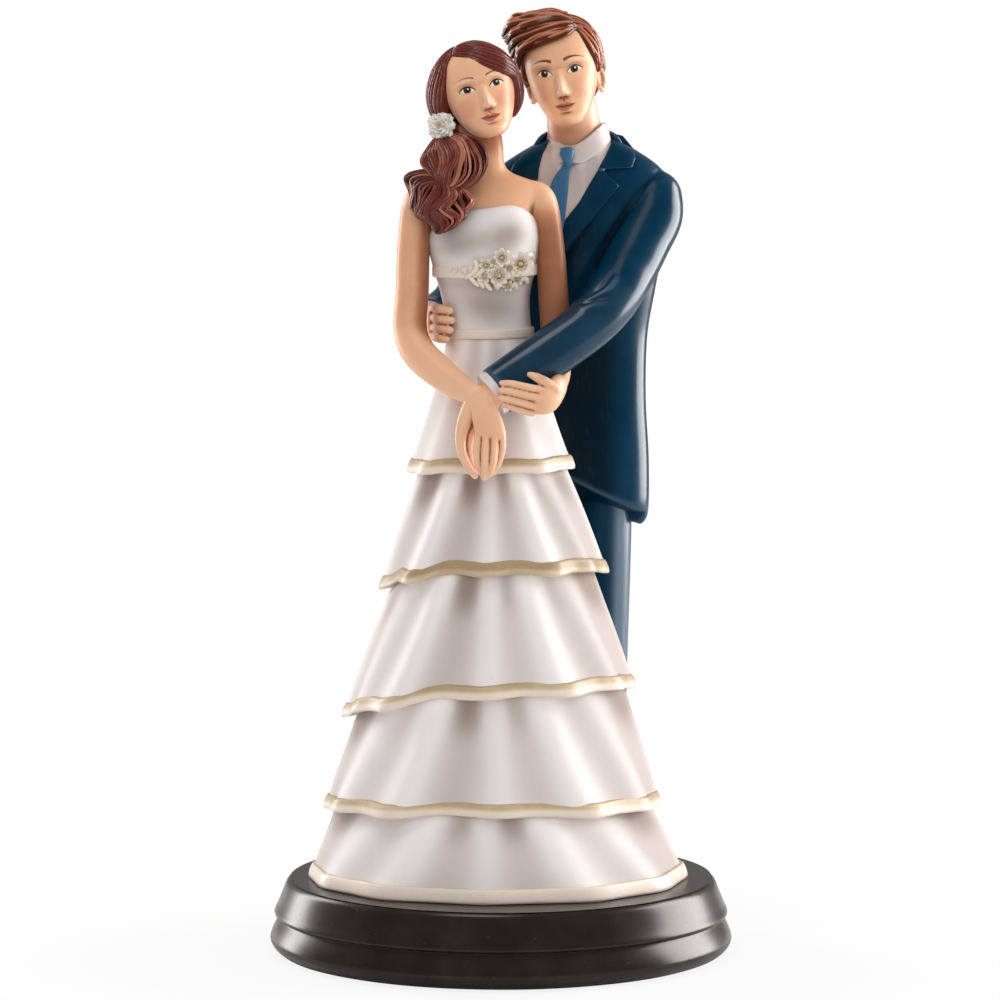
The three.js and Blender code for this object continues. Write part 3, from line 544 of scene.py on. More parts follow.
# A tier falls from the hem above it to its own hem. Ovals are centre across, half width, front and back.
# Ridges are degrees round from the front, and strengths. A sag is how far a hem hangs at either side.
TIERS = (
    {
        "level": 87.4, "neck": (-2.3, 9, 7.2, 6.2), "hem": (-2.2, 17.3, 15.8, 10.6),
        "tilt": 0.3, "rise": 0, "droop": 1.0, "depth": 0.28, "sag": (0.6, 0.2),
        "ridges": ((-52, 0.9), (-8, 0.5), (38, 1), (86, 0.8), (132, 0.7), (178, 0.7), (-98, 0.8),
                   (-140, 0.7)),
    },
    {
        "level": 65.0, "neck": (-1.8, 15.6, 14.2, 9.4), "hem": (-1.4, 23.9, 20.6, 12.5),
        "tilt": 1, "rise": 1.4, "droop": 3.0, "depth": 0.8, "sag": (2.4, 0.9),
        "ridges": ((-46, 1), (-4, 0.6), (31, 1), (60, 0.5), (89, 0.6), (128, 0.8), (170, 0.8), (-89, 0.6),
                   (-140, 0.8)),
    },
    {
        "level": 38.9, "neck": (-1.8, 21.6, 19, 11), "hem": (-2.2, 31.4, 26.7, 15.2),
        "tilt": 2.2, "rise": 2.4, "droop": 3.7, "depth": 1, "sag": (2.4, 0.7),
        "ridges": ((-42, 1), (-2, 0.6), (30, 1), (60, 0.6), (89, 0.3), (124, 0.8), (160, 0.8), (-66, 0.5),
                   (-89, 0.5), (-124, 0.8), (-162, 0.8)),
    },
    {
        "level": 16.6, "neck": (-2.2, 28.6, 25.2, 13.8), "hem": (-1.8, 36.5, 31.2, 17.6),
        "tilt": 0, "rise": 0.6, "droop": 2.6, "depth": 1, "sag": (1.7, 1.0),
        "ridges": ((-35, 1), (2, 0.55), (34, 1), (63, 0.7), (89, 0.2), (130, 0.8), (170, 0.8), (-64, 0.7),
                   (-89, 0.2), (-138, 0.8)),
    },
    {
        "level": 0.1, "neck": (-1.7, 33.5, 29.7, 16.2), "hem": (-0.7, 40.5, 36.2, 19.6),
        "tilt": 0, "rise": 0, "droop": 0, "depth": 0.65, "sag": (0, 0),
        "ridges": ((-36, 1), (-4, 0.5), (29, 1), (58, 0.8), (88, 0.3), (122, 0.8), (156, 0.8), (-64, 0.7),
                   (-88, 0.2), (-126, 0.8), (-162, 0.8)),
    },
)
# How far each hem band's paint leans to brown above 0, and to pale cream below 0
BAND_WASH = (0.15, 0.85, 0.15, 0.15, -0.8)
RIDGE_ROUNDING = 3.6
RIDGE_SPREAD = 0.3
# How far a tier runs up under the hem above it, and how high its own flared rim is
TUCK_HEIGHT, RIM_HEIGHT = 4, 4


def fold_wave(tier, angle, rounding=RIDGE_ROUNDING):
    """Panels of cloth hung between ridges: a parabola from each ridge to the next, rounded by a bell."""
    places, heights = np.array(sorted(tier["ridges"])).T
    places = np.concatenate([places[-1:] - 360, places, places[:1] + 360])
    heights = np.concatenate([heights[-1:], heights, heights[:1]])
    fine = np.arange(-180, 180, 0.5)
    last = np.searchsorted(places, fine, "right") - 1
    span = places[last + 1] - places[last]
    t = (fine - places[last]) / span
    hung = heights[last] * (1 - t) + heights[last + 1] * t - 4 * t * (1 - t) * np.minimum(span / 38, 1.1)
    bell = bump((fine + 360) % 360 - 180, 0, rounding * 1.41)
    rounded = np.fft.irfft(np.fft.rfft(hung) * np.fft.rfft(bell / bell.sum()), len(fine))
    return np.interp(np.degrees(angle), fine, rounded, period=360) - 0.3


def hem_height(tier, angle):
    """Height of a hem: it leans, sags at the sides and dips at ridges, most of all left of the front."""
    lean = tier["tilt"] * np.sin(angle) + tier["rise"] * np.cos(angle)
    degrees = np.degrees((angle + math.pi) % TAU - math.pi)
    dip = (0.5 + 0.5 * bump(degrees, -44, 24)) * (0.1 + 0.9 * ease(np.cos(angle), 0.1, 0.6))
    left, right = tier["sag"]
    sag = left * bump(degrees, -92, 36) + right * bump(degrees, 92, 36)
    return PLINTH_TOP + tier["level"] + lean - sag - tier["droop"] * dip * fold_wave(tier, angle, 8)


def tier_oval(tier, share, angle, fold):
    """A ring of a tier, a share of the way from its neck to its hem, moved out by a fold."""
    x, half, front, back = ((1 - share) * a + share * b for a, b in zip(tier["neck"], tier["hem"]))
    return oval(x, 0, half + fold, front + fold, back + fold, angle)


def hoop(centre, half_high, half_thick, columns, power, lean=0.0):
    """A closed cord along a ring of points: a flattened round section, upright or leaning inwards."""
    middle = centre.mean(0)
    ahead = np.roll(centre, -1, 0) - np.roll(centre, 1, 0)
    outward = unit(np.cross(ahead, (0, 0, 1.0)))
    outward *= np.sign(np.einsum("ij,ij->i", outward, centre - middle).sum())
    angle = turn(columns)
    out = np.sign(np.cos(angle)) * np.abs(np.cos(angle)) ** power * half_thick
    up = np.sign(np.sin(angle)) * np.abs(np.sin(angle)) ** power * half_high
    rise = np.array([0, 0, 1.0]) - lean * outward
    return centre[:, None] + out[None, :, None] * outward[:, None] + up[None, :, None] * rise[:, None]


def cloth_paint(name):
    """Off-white paint: a rosy-grey airbrush and painted shade in the fold hollows, a browner painted shadow
    where marked.
    """
    paint = Paint(name, specular=0.2)
    white = colour("dress")
    fold, soot = paint.stored("hollow"), paint.stored("soot")
    cloud = paint.noise(6, 4)
    streaks = paint.noise(0.9, 3, (1, 1, 0.12))
    # Painted shade over the airbrush: rosy-grey in the fold hollows
    tone = paint.mix(fold.step(-0.3, 0.75), white, toned(white, 0.8, "b9aaa6"))
    # Painted shadow: browner where the shadow mark is set
    tone = paint.mix((soot + (cloud - 0.5) * 0.5 * soot).step(0.05, 1.2), tone, "9a877c")
    tone = paint.mix((cloud - 0.45) * 0.3, tone, "e0d6d2")
    tone = paint.mix(streaks.step(0.62, 0.85) * 0.25, tone, "d6cbc7")
    rough = 0.54 + cloud * 0.1 + streaks * 0.08
    return paint.finish(tone, rough, streaks * 0.6 + cloud * 0.4, 0.06, 0.35)


def band_paint(name):
    """Cream pearl over brown: painted shade in the creases and painted highlight on the fold ridges."""
    paint = Paint(name, coat=0.08, specular=0.3)
    cream = colour("band")
    depth = paint.stored("hollow")
    cloud = paint.noise(2.6, 4)
    grain = paint.noise(0.6, 3)
    brown = toned(cream, 0.75, "94764a")
    # Painted shade in creases, and the brown of the band's upper half
    tone = paint.mix((depth + (cloud - 0.5) * 0.5).step(-0.2, 1), cream, brown)
    # Painted highlight: paler where the mark is low, as on the fold ridges
    tone = paint.mix((-depth).step(-0.3, 0.4) * 0.85, tone, toned(cream, 0.9, "f6e8e0"))
    tone = paint.mix((grain - 0.4) * 0.4, tone, toned(cream, 0.3, "a08868"))
    rough = 0.34 + cloud * 0.14 + grain * 0.06
    return paint.finish(tone, rough, grain * 0.5 + cloud * 0.5, 0.1, 0.4)


class TOPPER_OT_skirt(bpy.types.Operator):
    """Builds the five tiers of the skirt and their hem bands"""

    bl_idname = "topper.skirt"
    bl_label = "Skirt"

    def execute(self, context):
        """Each tier is a ring that grows from its neck to its hem, with ridges that deepen on the way."""
        cloth, cream = cloth_paint("dress_paint"), band_paint("band_paint")
        angle = turn(288)
        for index, tier in enumerate(TIERS):
            above = TIERS[index - 1] if index else None
            wave = fold_wave(tier, angle)
            low = hem_height(tier, angle)
            high = hem_height(above, angle) + TUCK_HEIGHT if above else np.full_like(angle, WAIST - 0.2)
            s = np.linspace(0, 1, 56)[:, None]
            hidden = TUCK_HEIGHT / (high - low) if above else 0 * low
            fall = np.clip((s - hidden) / (1 - hidden), 0, 1)
            start = 0.2 if index == 0 else 0.32
            slant = fold_wave(tier, angle + RIDGE_SPREAD * (1 - fall) * np.sin(2 * angle))
            spread = (start + (1 - start) * fall) * ease(fall, -0.1, 0.3)
            fold = size("fold_depth") * tier["depth"] * slant * spread
            tuck = np.clip(1 - s / np.maximum(hidden, 1e-6), 0, 1) if above else 0
            flare = fall + 0.06 * np.sin(math.pi * fall) * (0.5 if index else -1.2) - 0.35 * tuck
            rim = 0.3 * ease(fall, 1 - RIM_HEIGHT / (high - low), 1)
            rings = np.stack([*tier_oval(tier, flare, angle, fold + rim), high + (low - high) * s], -1)
            inner = np.stack([*tier_oval(tier, 1.0, angle, fold[-1] - 2.5), low + 0.4], -1)
            rings = np.concatenate([rings, inner[None]])
            # Painted shade on the right side of every tier but the first
            flank_shade = 0.4 * bump(angle, math.radians(60), 0.4) * (index > 0)
            hollow = np.concatenate([-slant, -wave[None]]) * (1 if index else 0.4) + flank_shade
            # Painted shadow at the top of each tier, under the hem above it
            top = bump(fall, 0.1, 0.27) * np.clip(-0.1 - slant, 0, 1) * (2.5 if index else 0.5)
            soot = np.concatenate([top, 0 * wave[None]])
            piece = Skin().grid(rings, hollow=hollow, soot=soot).made(f"skirt_tier_{index + 1}_cloth")
            dressed(piece, cloth, "dress", f"skirt_tier_{index + 1}")
            self.band(tier, index, angle, wave, cream)
        return {"FINISHED"}

    def band(self, tier, index, angle, wave, paint):
        """A bead along the hem: a flattened round section carried round it."""
        half = size("band_height") / 2
        fold = size("fold_depth") * tier["depth"] * wave
        level = hem_height(tier, angle) + half - 0.15 + (0.2 if index == 4 else 0)
        centre = np.stack([*tier_oval(tier, 1, angle, fold - 0.35), level], -1)
        swell = 1 + 0.02 * np.sin(23 * angle) + 0.015 * np.sin(41 * angle + 2)
        rings = hoop(centre, half, 0.52, 20, 0.85, 0.34)
        rings = centre[:, None] + (rings - centre[:, None]) * swell[:, None, None]
        rise = np.sin(turn(20))
        # Browner over the upper half and browner still along the top edge, painted shade in the crease
        # there, and paler below
        hollow = 0.85 * ease(rise, -0.3, 0.3) + 0.8 * ease(rise, 0.75, 1) - 0.5
        # Painted shade in the fold hollows and painted highlight on the fold ridges, over each band's own
        # tone
        shading_and_tone = 0.3 * np.clip(-wave, 0, 1) - 0.6 * np.clip(wave, 0, 1) + BAND_WASH[index]
        bead = Skin().grid(rings, looped=True, hollow=hollow + shading_and_tone[:, None])
        piece = bead.made(f"hem_band_{index + 1}_bead")
        dressed(piece, paint, "band", f"hem_band_{index + 1}")


BODICE = (
    (-0.6, -2.3, 0, 9, 7.2, 6.2), (0, -2.3, 0, 9, 7.2, 6.2), (4, -2.8, 0, 9, 7.2, 6),
    (9, -3.3, 0, 9.5, 7.8, 6), (14.5, -3.4, 0, 10.9, 9.3, 6.3), (19.5, -3.6, 0, 11.8, 9.9, 6.6),
    (23, -3.8, 0, 11.9, 9.4, 6.6), (26, -3.9, 0, 11.3, 8.3, 6.2),
)
NECKLINE_TILT = 0.13
RIBBON_LEAN = 0.02


def torso(stations, rows, columns, z_places=None):
    """Ovals through stations of [height above the waist, x, y, half width, front, back]."""
    values = smooth_through(stations, np.linspace(0, 1, rows))
    if z_places is not None:
        values = np.stack([np.interp(z_places, values[:, 0], values[:, k]) for k in range(6)], 1)
    z, x, y, half, front, back = (values[:, k : k + 1] for k in range(6))
    angle = turn(columns)[None]
    px, py = oval(x, y, half, front, back, angle)
    return np.stack(np.broadcast_arrays(px, py, z + WAIST), -1), angle


def bodice_rings(z_places, columns, more=0.0):
    """Rings of the bodice at heights above the waist, with two soft swells in front."""
    rings, angle = torso(BODICE, 120, columns, z_places)
    z = np.asarray(z_places)[:, None]
    swell = bump(angle, 0.52, 0.34) + bump(angle, TAU - 0.52, 0.34)
    relief = size("bust_relief") * swell * bump(z, 18.6, 4.6) + more
    rings[..., 0] += relief * np.sin(angle)
    rings[..., 1] -= relief * np.cos(angle)
    t = np.clip(z / 26, 0, 1)
    away = np.minimum(angle, TAU - angle)
    rings[..., 2] += (NECKLINE_TILT * (rings[..., 0] + 4) + 1) * t**3 - 4.4 * ease(away, 0.45, 1.7) * t**5
    return rings, angle


def bodice_front(x, z):
    """The bodice's depth in front at a place across and a height above the waist."""
    values = smooth_through(BODICE, np.linspace(0, 1, 200))
    cx, half, front = (np.interp(z, values[:, 0], values[:, k]) for k in (1, 3, 4))
    angle = np.arcsin(np.clip((x - cx) / half, -1, 1))
    swell = bump(angle, 0.52, 0.34) + bump(angle, -0.52, 0.34)
    return -(front + size("bust_relief") * swell * bump(z, 18.6, 4.6)) * np.cos(angle)


class TOPPER_OT_bodice(bpy.types.Operator):
    """Builds the bodice with its waist belt and bust sash"""

    bl_idname = "topper.bodice"
    bl_label = "Bodice"

    def execute(self, context):
        """Ovals from the waist to a rolled neckline, and two cords that follow them."""
        z = np.linspace(-0.6, 25.6, 72)
        rings, angle = bodice_rings(z, 160)
        edge = [(25.95, -0.12), (26.15, -0.4), (26.1, -0.75), (25.8, -0.95)]
        rolled = np.concatenate([bodice_rings([h], 160, inset)[0] for h, inset in edge])
        rings = np.concatenate([rings, rolled])
        side = np.abs(np.sin(angle)) * (np.cos(angle) > 0)
        level = np.concatenate([z, [26, 26, 26, 26]])[:, None]
        around = (angle + math.pi) % TAU - math.pi
        # Painted shade under the bust
        bust_shade = 0.55 * bump(around, 0.5, 0.4) + 0.5 * bump(around, -0.5, 0.5) + 0.4 * bump(around, 0, 0.9)
        bust_shade = bust_shade * bump(level, 20 + 1.2 * around, 3.4)
        # Painted shade on the sides and in a band at the height below the spray of flowers
        hollow = 0.35 * ease(side, 0.75, 1) + 0.25 * bump(level, 9, 4)
        # Painted shadow under the bust, under the sash and on the front below the spray
        soot = 0.95 * bust_shade + 0.35 * bump(level, 11.3, 1.4) * ease(np.cos(angle), 0, 0.5)
        soot = soot + 0.8 * bump(level, 6.5, 5.5) * bump(around, 0.1, 0.8)
        piece = Skin().grid(rings, hollow=hollow, soot=soot).made("bodice_cloth")
        dressed(piece, cloth_paint("bodice_paint"), "dress", "bodice")
        paint = band_paint("ribbon_paint")
        self.ribbon("belt_ribbon", "waist_belt", 0.6, 1, paint)
        self.ribbon("sash_ribbon", "bust_sash", 13.8, 1.2, paint)
        return {"FINISHED"}

    def ribbon(self, name, node, middle, half, paint):
        """A flat band that follows the bodice, with a bevelled edge, leaning a little across."""
        flat, _ = bodice_rings([middle], 200, 0.12)
        heights = middle + RIBBON_LEAN * (flat[0, :, 0] + 3)
        stack, _ = bodice_rings(np.linspace(middle - 2, middle + 2, 41), 200, 0.12)
        row = np.clip(np.round((heights - middle + 2) / 0.1).astype(int), 0, 40)
        centre = stack[row, np.arange(200)].copy()
        centre[:, 2] = heights + WAIST
        rings = hoop(centre, half, 0.34, 24, 0.45)
        hollow = 0.8 * ease(np.abs(np.sin(turn(24))), 0.75, 1) - 0.7 + 0 * centre[:, :1]
        piece = Skin().grid(rings, looped=True, hollow=hollow).made(name)
        dressed(piece, paint, "ribbon", node)


# Skin


def skin_paint(name, creases=(0.01, 0.13)):
    """Satin flesh paint, with orange-brown painted shade in hollows and shaded sides, and painted highlight
    on ridges.
    """
    paint = Paint(name, coat=0.05, specular=0.28)
    base = colour("skin")
    shade, light = toned(base, 0.85, "a0542c"), toned(base, 0.5, "ffe9d8")
    depth, dusk = paint.stored("hollow"), paint.stored("dusk")
    cloud = paint.noise(4, 4)
    fine = paint.noise(0.5, 3)
    shade_wash = (depth + (cloud - 0.5) * 0.03).step(*creases)
    # Painted highlight on ridges
    tone = paint.mix((-depth).step(0.01, 0.2) * 0.65, base, light)
    # Painted shade where dusk is marked, deeper where it is high
    tone = paint.mix((dusk + (cloud - 0.5) * 0.3).step(0.05, 1.1) * 0.85, tone, shade)
    tone = paint.mix(dusk.step(0.9, 1.7) * 0.7, tone, toned(shade, 0.45))
    # Painted shade in creases
    tone = paint.mix(shade_wash, tone, toned(shade, 0.25))
    tone = paint.mix((cloud - 0.4) * 0.3, tone, toned(base, 0.4, "c8794f"))
    rough = 0.34 + cloud * 0.1 + fine * 0.06
    return paint.finish(tone, rough, fine * 0.5 + cloud * 0.5, 0.04, 0.35)


SHOULDERS = (
    (20, -3.7, 0, 10.4, 7.4, 5.4), (26, -3.9, 0, 10.7, 7.4, 5.6), (28.6, -4, 0, 12.4, 6.4, 5.4),
    (30.6, -3.9, 0, 13.2, 5.5, 5), (32, -3.8, 0.1, 12, 4.8, 4.6), (33.2, -3.5, 0.2, 8.6, 4.3, 4.2),
    (34.4, -3.1, 0.3, 5.2, 3.9, 3.8), (36.2, -2.9, 0.2, 3.7, 3.5, 3.4), (40, -3.1, 0, 3.65, 3.3, 3.5),
    (43.5, -4.7, 0.8, 4.7, 3.4, 3.8), (47.5, -6, 1.4, 5, 3.4, 4),
)
BRIDE_RIGHT_ARM = (
    (-13.5, -0.8, 30.4, 2.4), (-17, -1.3, 28.2, 3.45), (-18.3, -1.8, 20, 3.5), (-18.7, -2, 9, 3.5),
    (-19.1, -3.2, 1.6, 3.55), (-17.3, -6, -3.2, 3.6), (-12.9, -10.6, -7, 3.4), (-8.6, -15, -9.8, 2.75),
    (-5.6, -18, -11.4, 2.35),
)
BRIDE_RIGHT_HAND = (
    ((-6.6, -17, -10.8, 2.3, 2.1), (-4.6, -18.9, -12.2, 2.4, 1.9), (-3.3, -20, -15.2, 2.9, 1.7),
     (-2.4, -20.3, -18.2, 3.2, 1.5), (-2.1, -20.3, -20.2, 3.1, 1.2)),
    ((-4.6, -20.3, -19.2, 0.95), (-5, -20.9, -23.2, 0.86), (-4.7, -20.5, -25.8, 0.78),
     (-4.1, -19.7, -27.6, 0.58)),
    ((-3.1, -20.7, -19.4, 0.98), (-3.3, -21.3, -24, 0.88), (-3.4, -20.8, -26.8, 0.78),
     (-3.6, -19.9, -28.6, 0.58)),
    ((-1.4, -20.6, -19.2, 0.96), (-1.5, -21.1, -23.6, 0.86), (-2.1, -20.6, -26.6, 0.76),
     (-2.9, -19.7, -28.3, 0.56)),
    ((0.2, -20.1, -19, 0.88), (0.2, -20.4, -22.4, 0.8), (-0.6, -20, -25.6, 0.7),
     (-1.8, -19.3, -27.7, 0.52)),
)
BRIDE_LEFT_ARM = (
    (5.6, -0.1, 30.4, 2.4), (8.6, -0.2, 28.5, 3.1), (10.2, -0.2, 20, 3.1), (11, -0.8, 9, 3.2),
    (11.9, -1.8, -2.4, 3.2), (12, -4.6, -7.4, 2.7), (11.8, -8.6, -9.4, 2.3), (11.5, -12.4, -9.6, 2.1),
)
BRIDE_LEFT_HAND = (
    ((11.6, -11, -9.4, 2.1, 2), (11.9, -14.6, -9.8, 2.5, 1.9), (11, -17.8, -11, 3, 1.7),
     (9.2, -19.5, -12.1, 3.1, 1.6), (7.4, -20, -12.4, 2.8, 1.3)),
    ((8.6, -20, -10.3, 0.98), (5, -20.7, -9.4, 0.88), (2, -20.5, -8.7, 0.78), (0.1, -19.9, -8.6, 0.58)),
    ((8.4, -20.4, -11.9, 0.98), (4.8, -21, -11, 0.88), (1.8, -20.8, -10.3, 0.78),
     (-0.1, -20.2, -10.1, 0.58)),
    ((7.6, -20.3, -13.5, 0.96), (4.4, -20.9, -12.6, 0.86), (1.6, -20.7, -11.9, 0.76),
     (-0.1, -20.1, -11.7, 0.56)),
    ((6.4, -19.9, -14.8, 0.86), (3.8, -20.4, -14.1, 0.78), (1.8, -20.3, -13.5, 0.7),
     (0.4, -19.8, -13.2, 0.52)),
    ((11.2, -18.8, -10, 1.3), (9.2, -19.5, -8.5, 1.15), (7.4, -19.4, -7.5, 0.95),
     (5.9, -19.1, -6.9, 0.6)),
)
GROOM_RIGHT_HAND = (
    ((-15.4, 10, 3, 2.8, 1.8), (-15.2, 5.4, 3, 3.6, 1.5), (-14.4, 1.6, 2.9, 3.7, 1.3)),
    ((-14.3, 2.2, 5.7, 1.05), (-13.5, -1, 5.7, 1.05), (-12.4, -4, 5.7, 1), (-10.6, -6.4, 5.6, 0.8)),
    ((-14.3, 2.2, 3.6, 1.05), (-13.5, -1, 3.6, 1.05), (-12.3, -4.2, 3.6, 1), (-10.3, -6.7, 3.5, 0.8)),
    ((-14.3, 2.2, 1.6, 1.05), (-13.5, -1, 1.6, 1.05), (-12.4, -4.1, 1.6, 1), (-10.6, -6.6, 1.5, 0.8)),
    ((-14.3, 2.2, -0.4, 1), (-13.6, -1, -0.4, 1), (-12.7, -3.9, -0.5, 0.95), (-11.3, -6.1, -0.6, 0.75)),
)
GROOM_LEFT_HAND = (
    ((-1, -14.6, -10, 3.4, 3), (-3.4, -16.2, -12.4, 3.6, 2), (-5.2, -17, -15.6, 3.5, 1.7),
     (-6.2, -17.2, -18.6, 2.8, 1.4)),
    ((-6, -18, -12.8, 1.7), (-7.6, -18.8, -16.6, 1.55), (-8.4, -19.2, -20.1, 1.2),
     (-8.1, -19.6, -23.3, 0.98), (-6.8, -19.6, -26.2, 0.86), (-5.4, -19.2, -28.2, 0.62)),
    ((-5.6, -17.2, -16, 1.3), (-6.6, -17.8, -20.4, 1.1), (-6.7, -18.2, -24, 0.92),
     (-5.3, -18.4, -27.2, 0.66)),
)


def add_hand(skin, parts, wide):
    """A palm and its digits, each a ring along a line through its stations."""
    palm, *digits = parts
    skin.grid(limb(palm, 30, 36, wide))
    for digit in digits:
        skin.grid(limb(digit, 28, 20, wide))


class TOPPER_OT_bride_skin(bpy.types.Operator):
    """Builds the bride's shoulders, neck, arms and hands as one melted skin"""

    bl_idname = "topper.bride_skin"
    bl_label = "Bride's skin"

    def execute(self, context):
        """Ovals for the chest, rings along lines for arms, palms and fingers, melted into each other."""
        skin = Skin()
        skin.grid(torso(SHOULDERS, 60, 72)[0])
        skin.grid(limb(BRIDE_RIGHT_ARM, 90, 40, (0, 1, 0)))
        skin.grid(limb(BRIDE_LEFT_ARM, 90, 40))
        add_hand(skin, BRIDE_RIGHT_HAND, (1, 0, 0))
        add_hand(skin, BRIDE_LEFT_HAND, (0, 0, 1))
        piece = fused(skin.made("bride_skin"), size("voxel"), 5)
        points = points_of(piece.data)
        chest = ease(points[:, 2] - WAIST, 12, 22)[:, None]
        move(piece, averaged(piece.data, points, 40, 0.6 * chest))
        mark_hollows(piece, 40)
        points, normals = points_of(piece.data), normals_of(piece.data)
        x, z = points[:, 0] + 3.5, points[:, 2] - WAIST
        inward = -np.sign(x) * normals[:, 0]
        # Painted shade: the inner sides of the arms, the left arm, the upper right arm, the throat under
        # the chin and the chest on the right arm's side
        dusk = ease(np.abs(x), 8, 11) * ease(inward, 0, 0.95) * ease(z, -8, 2) * 0.95
        dusk += 1.45 * ease(x, 9.5, 13) * ease(z, 31, 21) * ease(z, -10, -4)
        dusk += 0.4 * ease(-x, 9, 13) * ease(z, -2, 4) * ease(z, 31, 26)
        dusk += 1.2 * bump(z, 43, 5) * ease(-normals[:, 1], -0.5, 0.6) * (np.abs(x) < 6)
        dusk += 0.5 * ease(-x, -2, 4) * bump(z, 31, 7) * (np.abs(x) < 13) * ease(-normals[:, 1], 0, 0.8)
        mark(piece.data, "dusk", dusk)
        arms = ("bride_right_arm", "bride_left_arm", "bride_right_hand", "bride_left_hand")
        dressed(piece, skin_paint("bride_flesh"), "skin", "bride_shoulders", *arms)
        return {"FINISHED"}


class TOPPER_OT_groom_hands(bpy.types.Operator):
    """Builds the groom's hands, one at the bride's waist and one among the joined hands"""

    bl_idname = "topper.groom_hands"
    bl_label = "Groom's hands"

    def execute(self, context):
        """Rings along lines for palms and fingers, melted into each other."""
        paint = skin_paint("groom_hand_flesh")
        for name, node, parts, wide in (
            ("groom_right_fingers", "groom_right_hand", GROOM_RIGHT_HAND, (0, 0, 1)),
            ("groom_left_fingers", "groom_left_hand", GROOM_LEFT_HAND, (1, 0, 0.3)),
        ):
            skin = Skin()
            add_hand(skin, parts, wide)
            piece = mark_hollows(fused(skin.made(name), 0.2, 5), 40)
            # Painted shade on the sides that face back
            mark(piece.data, "dusk", 0.55 * ease(normals_of(piece.data)[:, 1], -0.9, 0.1))
            dressed(piece, paint, "skin", node)
        return {"FINISHED"}


# Heads, whose own X is across, -Y the face and Z up

BRIDE_HEAD = {"centre": (-4.6, -2.2, 51), "half": (7.9, 8.9, 10.2), "turn": (-10, -15, 8)}
GROOM_HEAD = {"centre": (13.2, 8.2, 54.9), "half": (8, 9.3, 11.2), "turn": (-2, -10, -6)}
# Height, half width, front and back as shares of the half sizes, from chin to crown
SKULL = (
    (-1.0, 0.1, -0.78, -0.56), (-0.985, 0.24, -0.84, -0.4), (-0.94, 0.36, -0.885, -0.2),
    (-0.85, 0.48, -0.9, 0.02), (-0.72, 0.6, -0.9, 0.2), (-0.56, 0.71, -0.905, 0.36),
    (-0.38, 0.81, -0.915, 0.52), (-0.18, 0.89, -0.925, 0.68), (0.04, 0.945, -0.93, 0.84),
    (0.26, 0.97, -0.935, 0.94), (0.46, 0.95, -0.9, 0.97), (0.64, 0.87, -0.81, 0.92),
    (0.8, 0.7, -0.64, 0.77), (0.91, 0.5, -0.45, 0.56), (0.975, 0.27, -0.24, 0.3),
    (1.0, 0.04, -0.03, 0.05),
)


def posed(points, head):
    """Points of a head turned and put in their place."""
    spin = np.array(Euler([math.radians(v) for v in head["turn"]], "XYZ").to_matrix())
    return points @ spin.T + np.array(head["centre"]) + TO_WAIST


def face_relief(u, v, strength):
    """How far the face stands out, in millimetres, at shares across and up: a sum of bells.

    The proportions are the usual ones: eyes halfway up, the nose's base halfway from them to the chin,
    and the mouth a third of the way on.
    """
    side = np.abs(u)

    def spot(cu, cv, wu, wv):
        """A bell on each side."""
        return bump(side, cu, wu) * bump(v, cv, wv)

    run = ease(v, 0.2, -0.34) * ease(v, -0.47, -0.38)
    nose = 2.0 * run**1.3 * bump(u, 0, 0.085 + 0.05 * ease(v, 0, -0.36))
    nose = nose + 0.5 * spot(0.12, -0.395, 0.055, 0.045)
    eyes = -0.75 * spot(0.4, 0.05, 0.23, 0.12) + 0.55 * spot(0.4, 0.012, 0.17, 0.075)
    brows = 0.3 * spot(0.42, 0.2, 0.26, 0.05) - 0.2 * spot(0, 0.1, 0.12, 0.07)
    cheeks = 0.5 * spot(0.5, -0.32, 0.26, 0.18) - 0.25 * spot(0.62, -0.62, 0.16, 0.16)
    line = -0.63 + 0.35 * u**2
    lips = 0.42 * bump(v, line + 0.04, 0.032) * bump(u, 0, 0.2) * (1 - 0.25 * bump(u, 0, 0.04))
    lips = lips + 0.5 * bump(v, line - 0.05, 0.04) * bump(u, 0, 0.17)
    lips = lips - 0.4 * bump(v, line, 0.014) * bump(u, 0, 0.24) - 0.14 * spot(0, -0.53, 0.03, 0.05)
    chin = 0.6 * spot(0, -0.88, 0.22, 0.09) - 0.35 * spot(0, -0.765, 0.2, 0.04)
    return strength * (nose + eyes + brows + cheeks + lips + chin)


def head_rings(head, rows=210, columns=240, more=0.0, relief=1.0):
    """A stack of rings from chin to crown with closer columns in front, and the face's relief added."""
    a, b, c = head["half"]
    z, w, front, back = smooth_through(SKULL, np.linspace(0, 1, rows)).T[..., None]
    phi = turn(columns)[None]
    angle = phi - 0.45 * np.sin(phi)
    middle, reach = (front + back) / 2, (back - front) / 2
    cosine = np.cos(angle)
    flat = np.sign(cosine) * np.abs(cosine) ** np.where(cosine > 0, 0.9, 1.0)
    u = w * np.sin(angle)
    x, y = u * (a + more), (middle - reach * flat) * (b + more)
    ahead = ease(cosine, 0.2, 0.7)
    y = y - ahead * face_relief(u, z + 0 * u, relief)
    points = np.stack([x, y, z * (c + more) + 0 * x], -1)
    face = np.stack([u, np.where(cosine > 0, y / b, 0.0), z + 0 * u], -1)
    return points, face


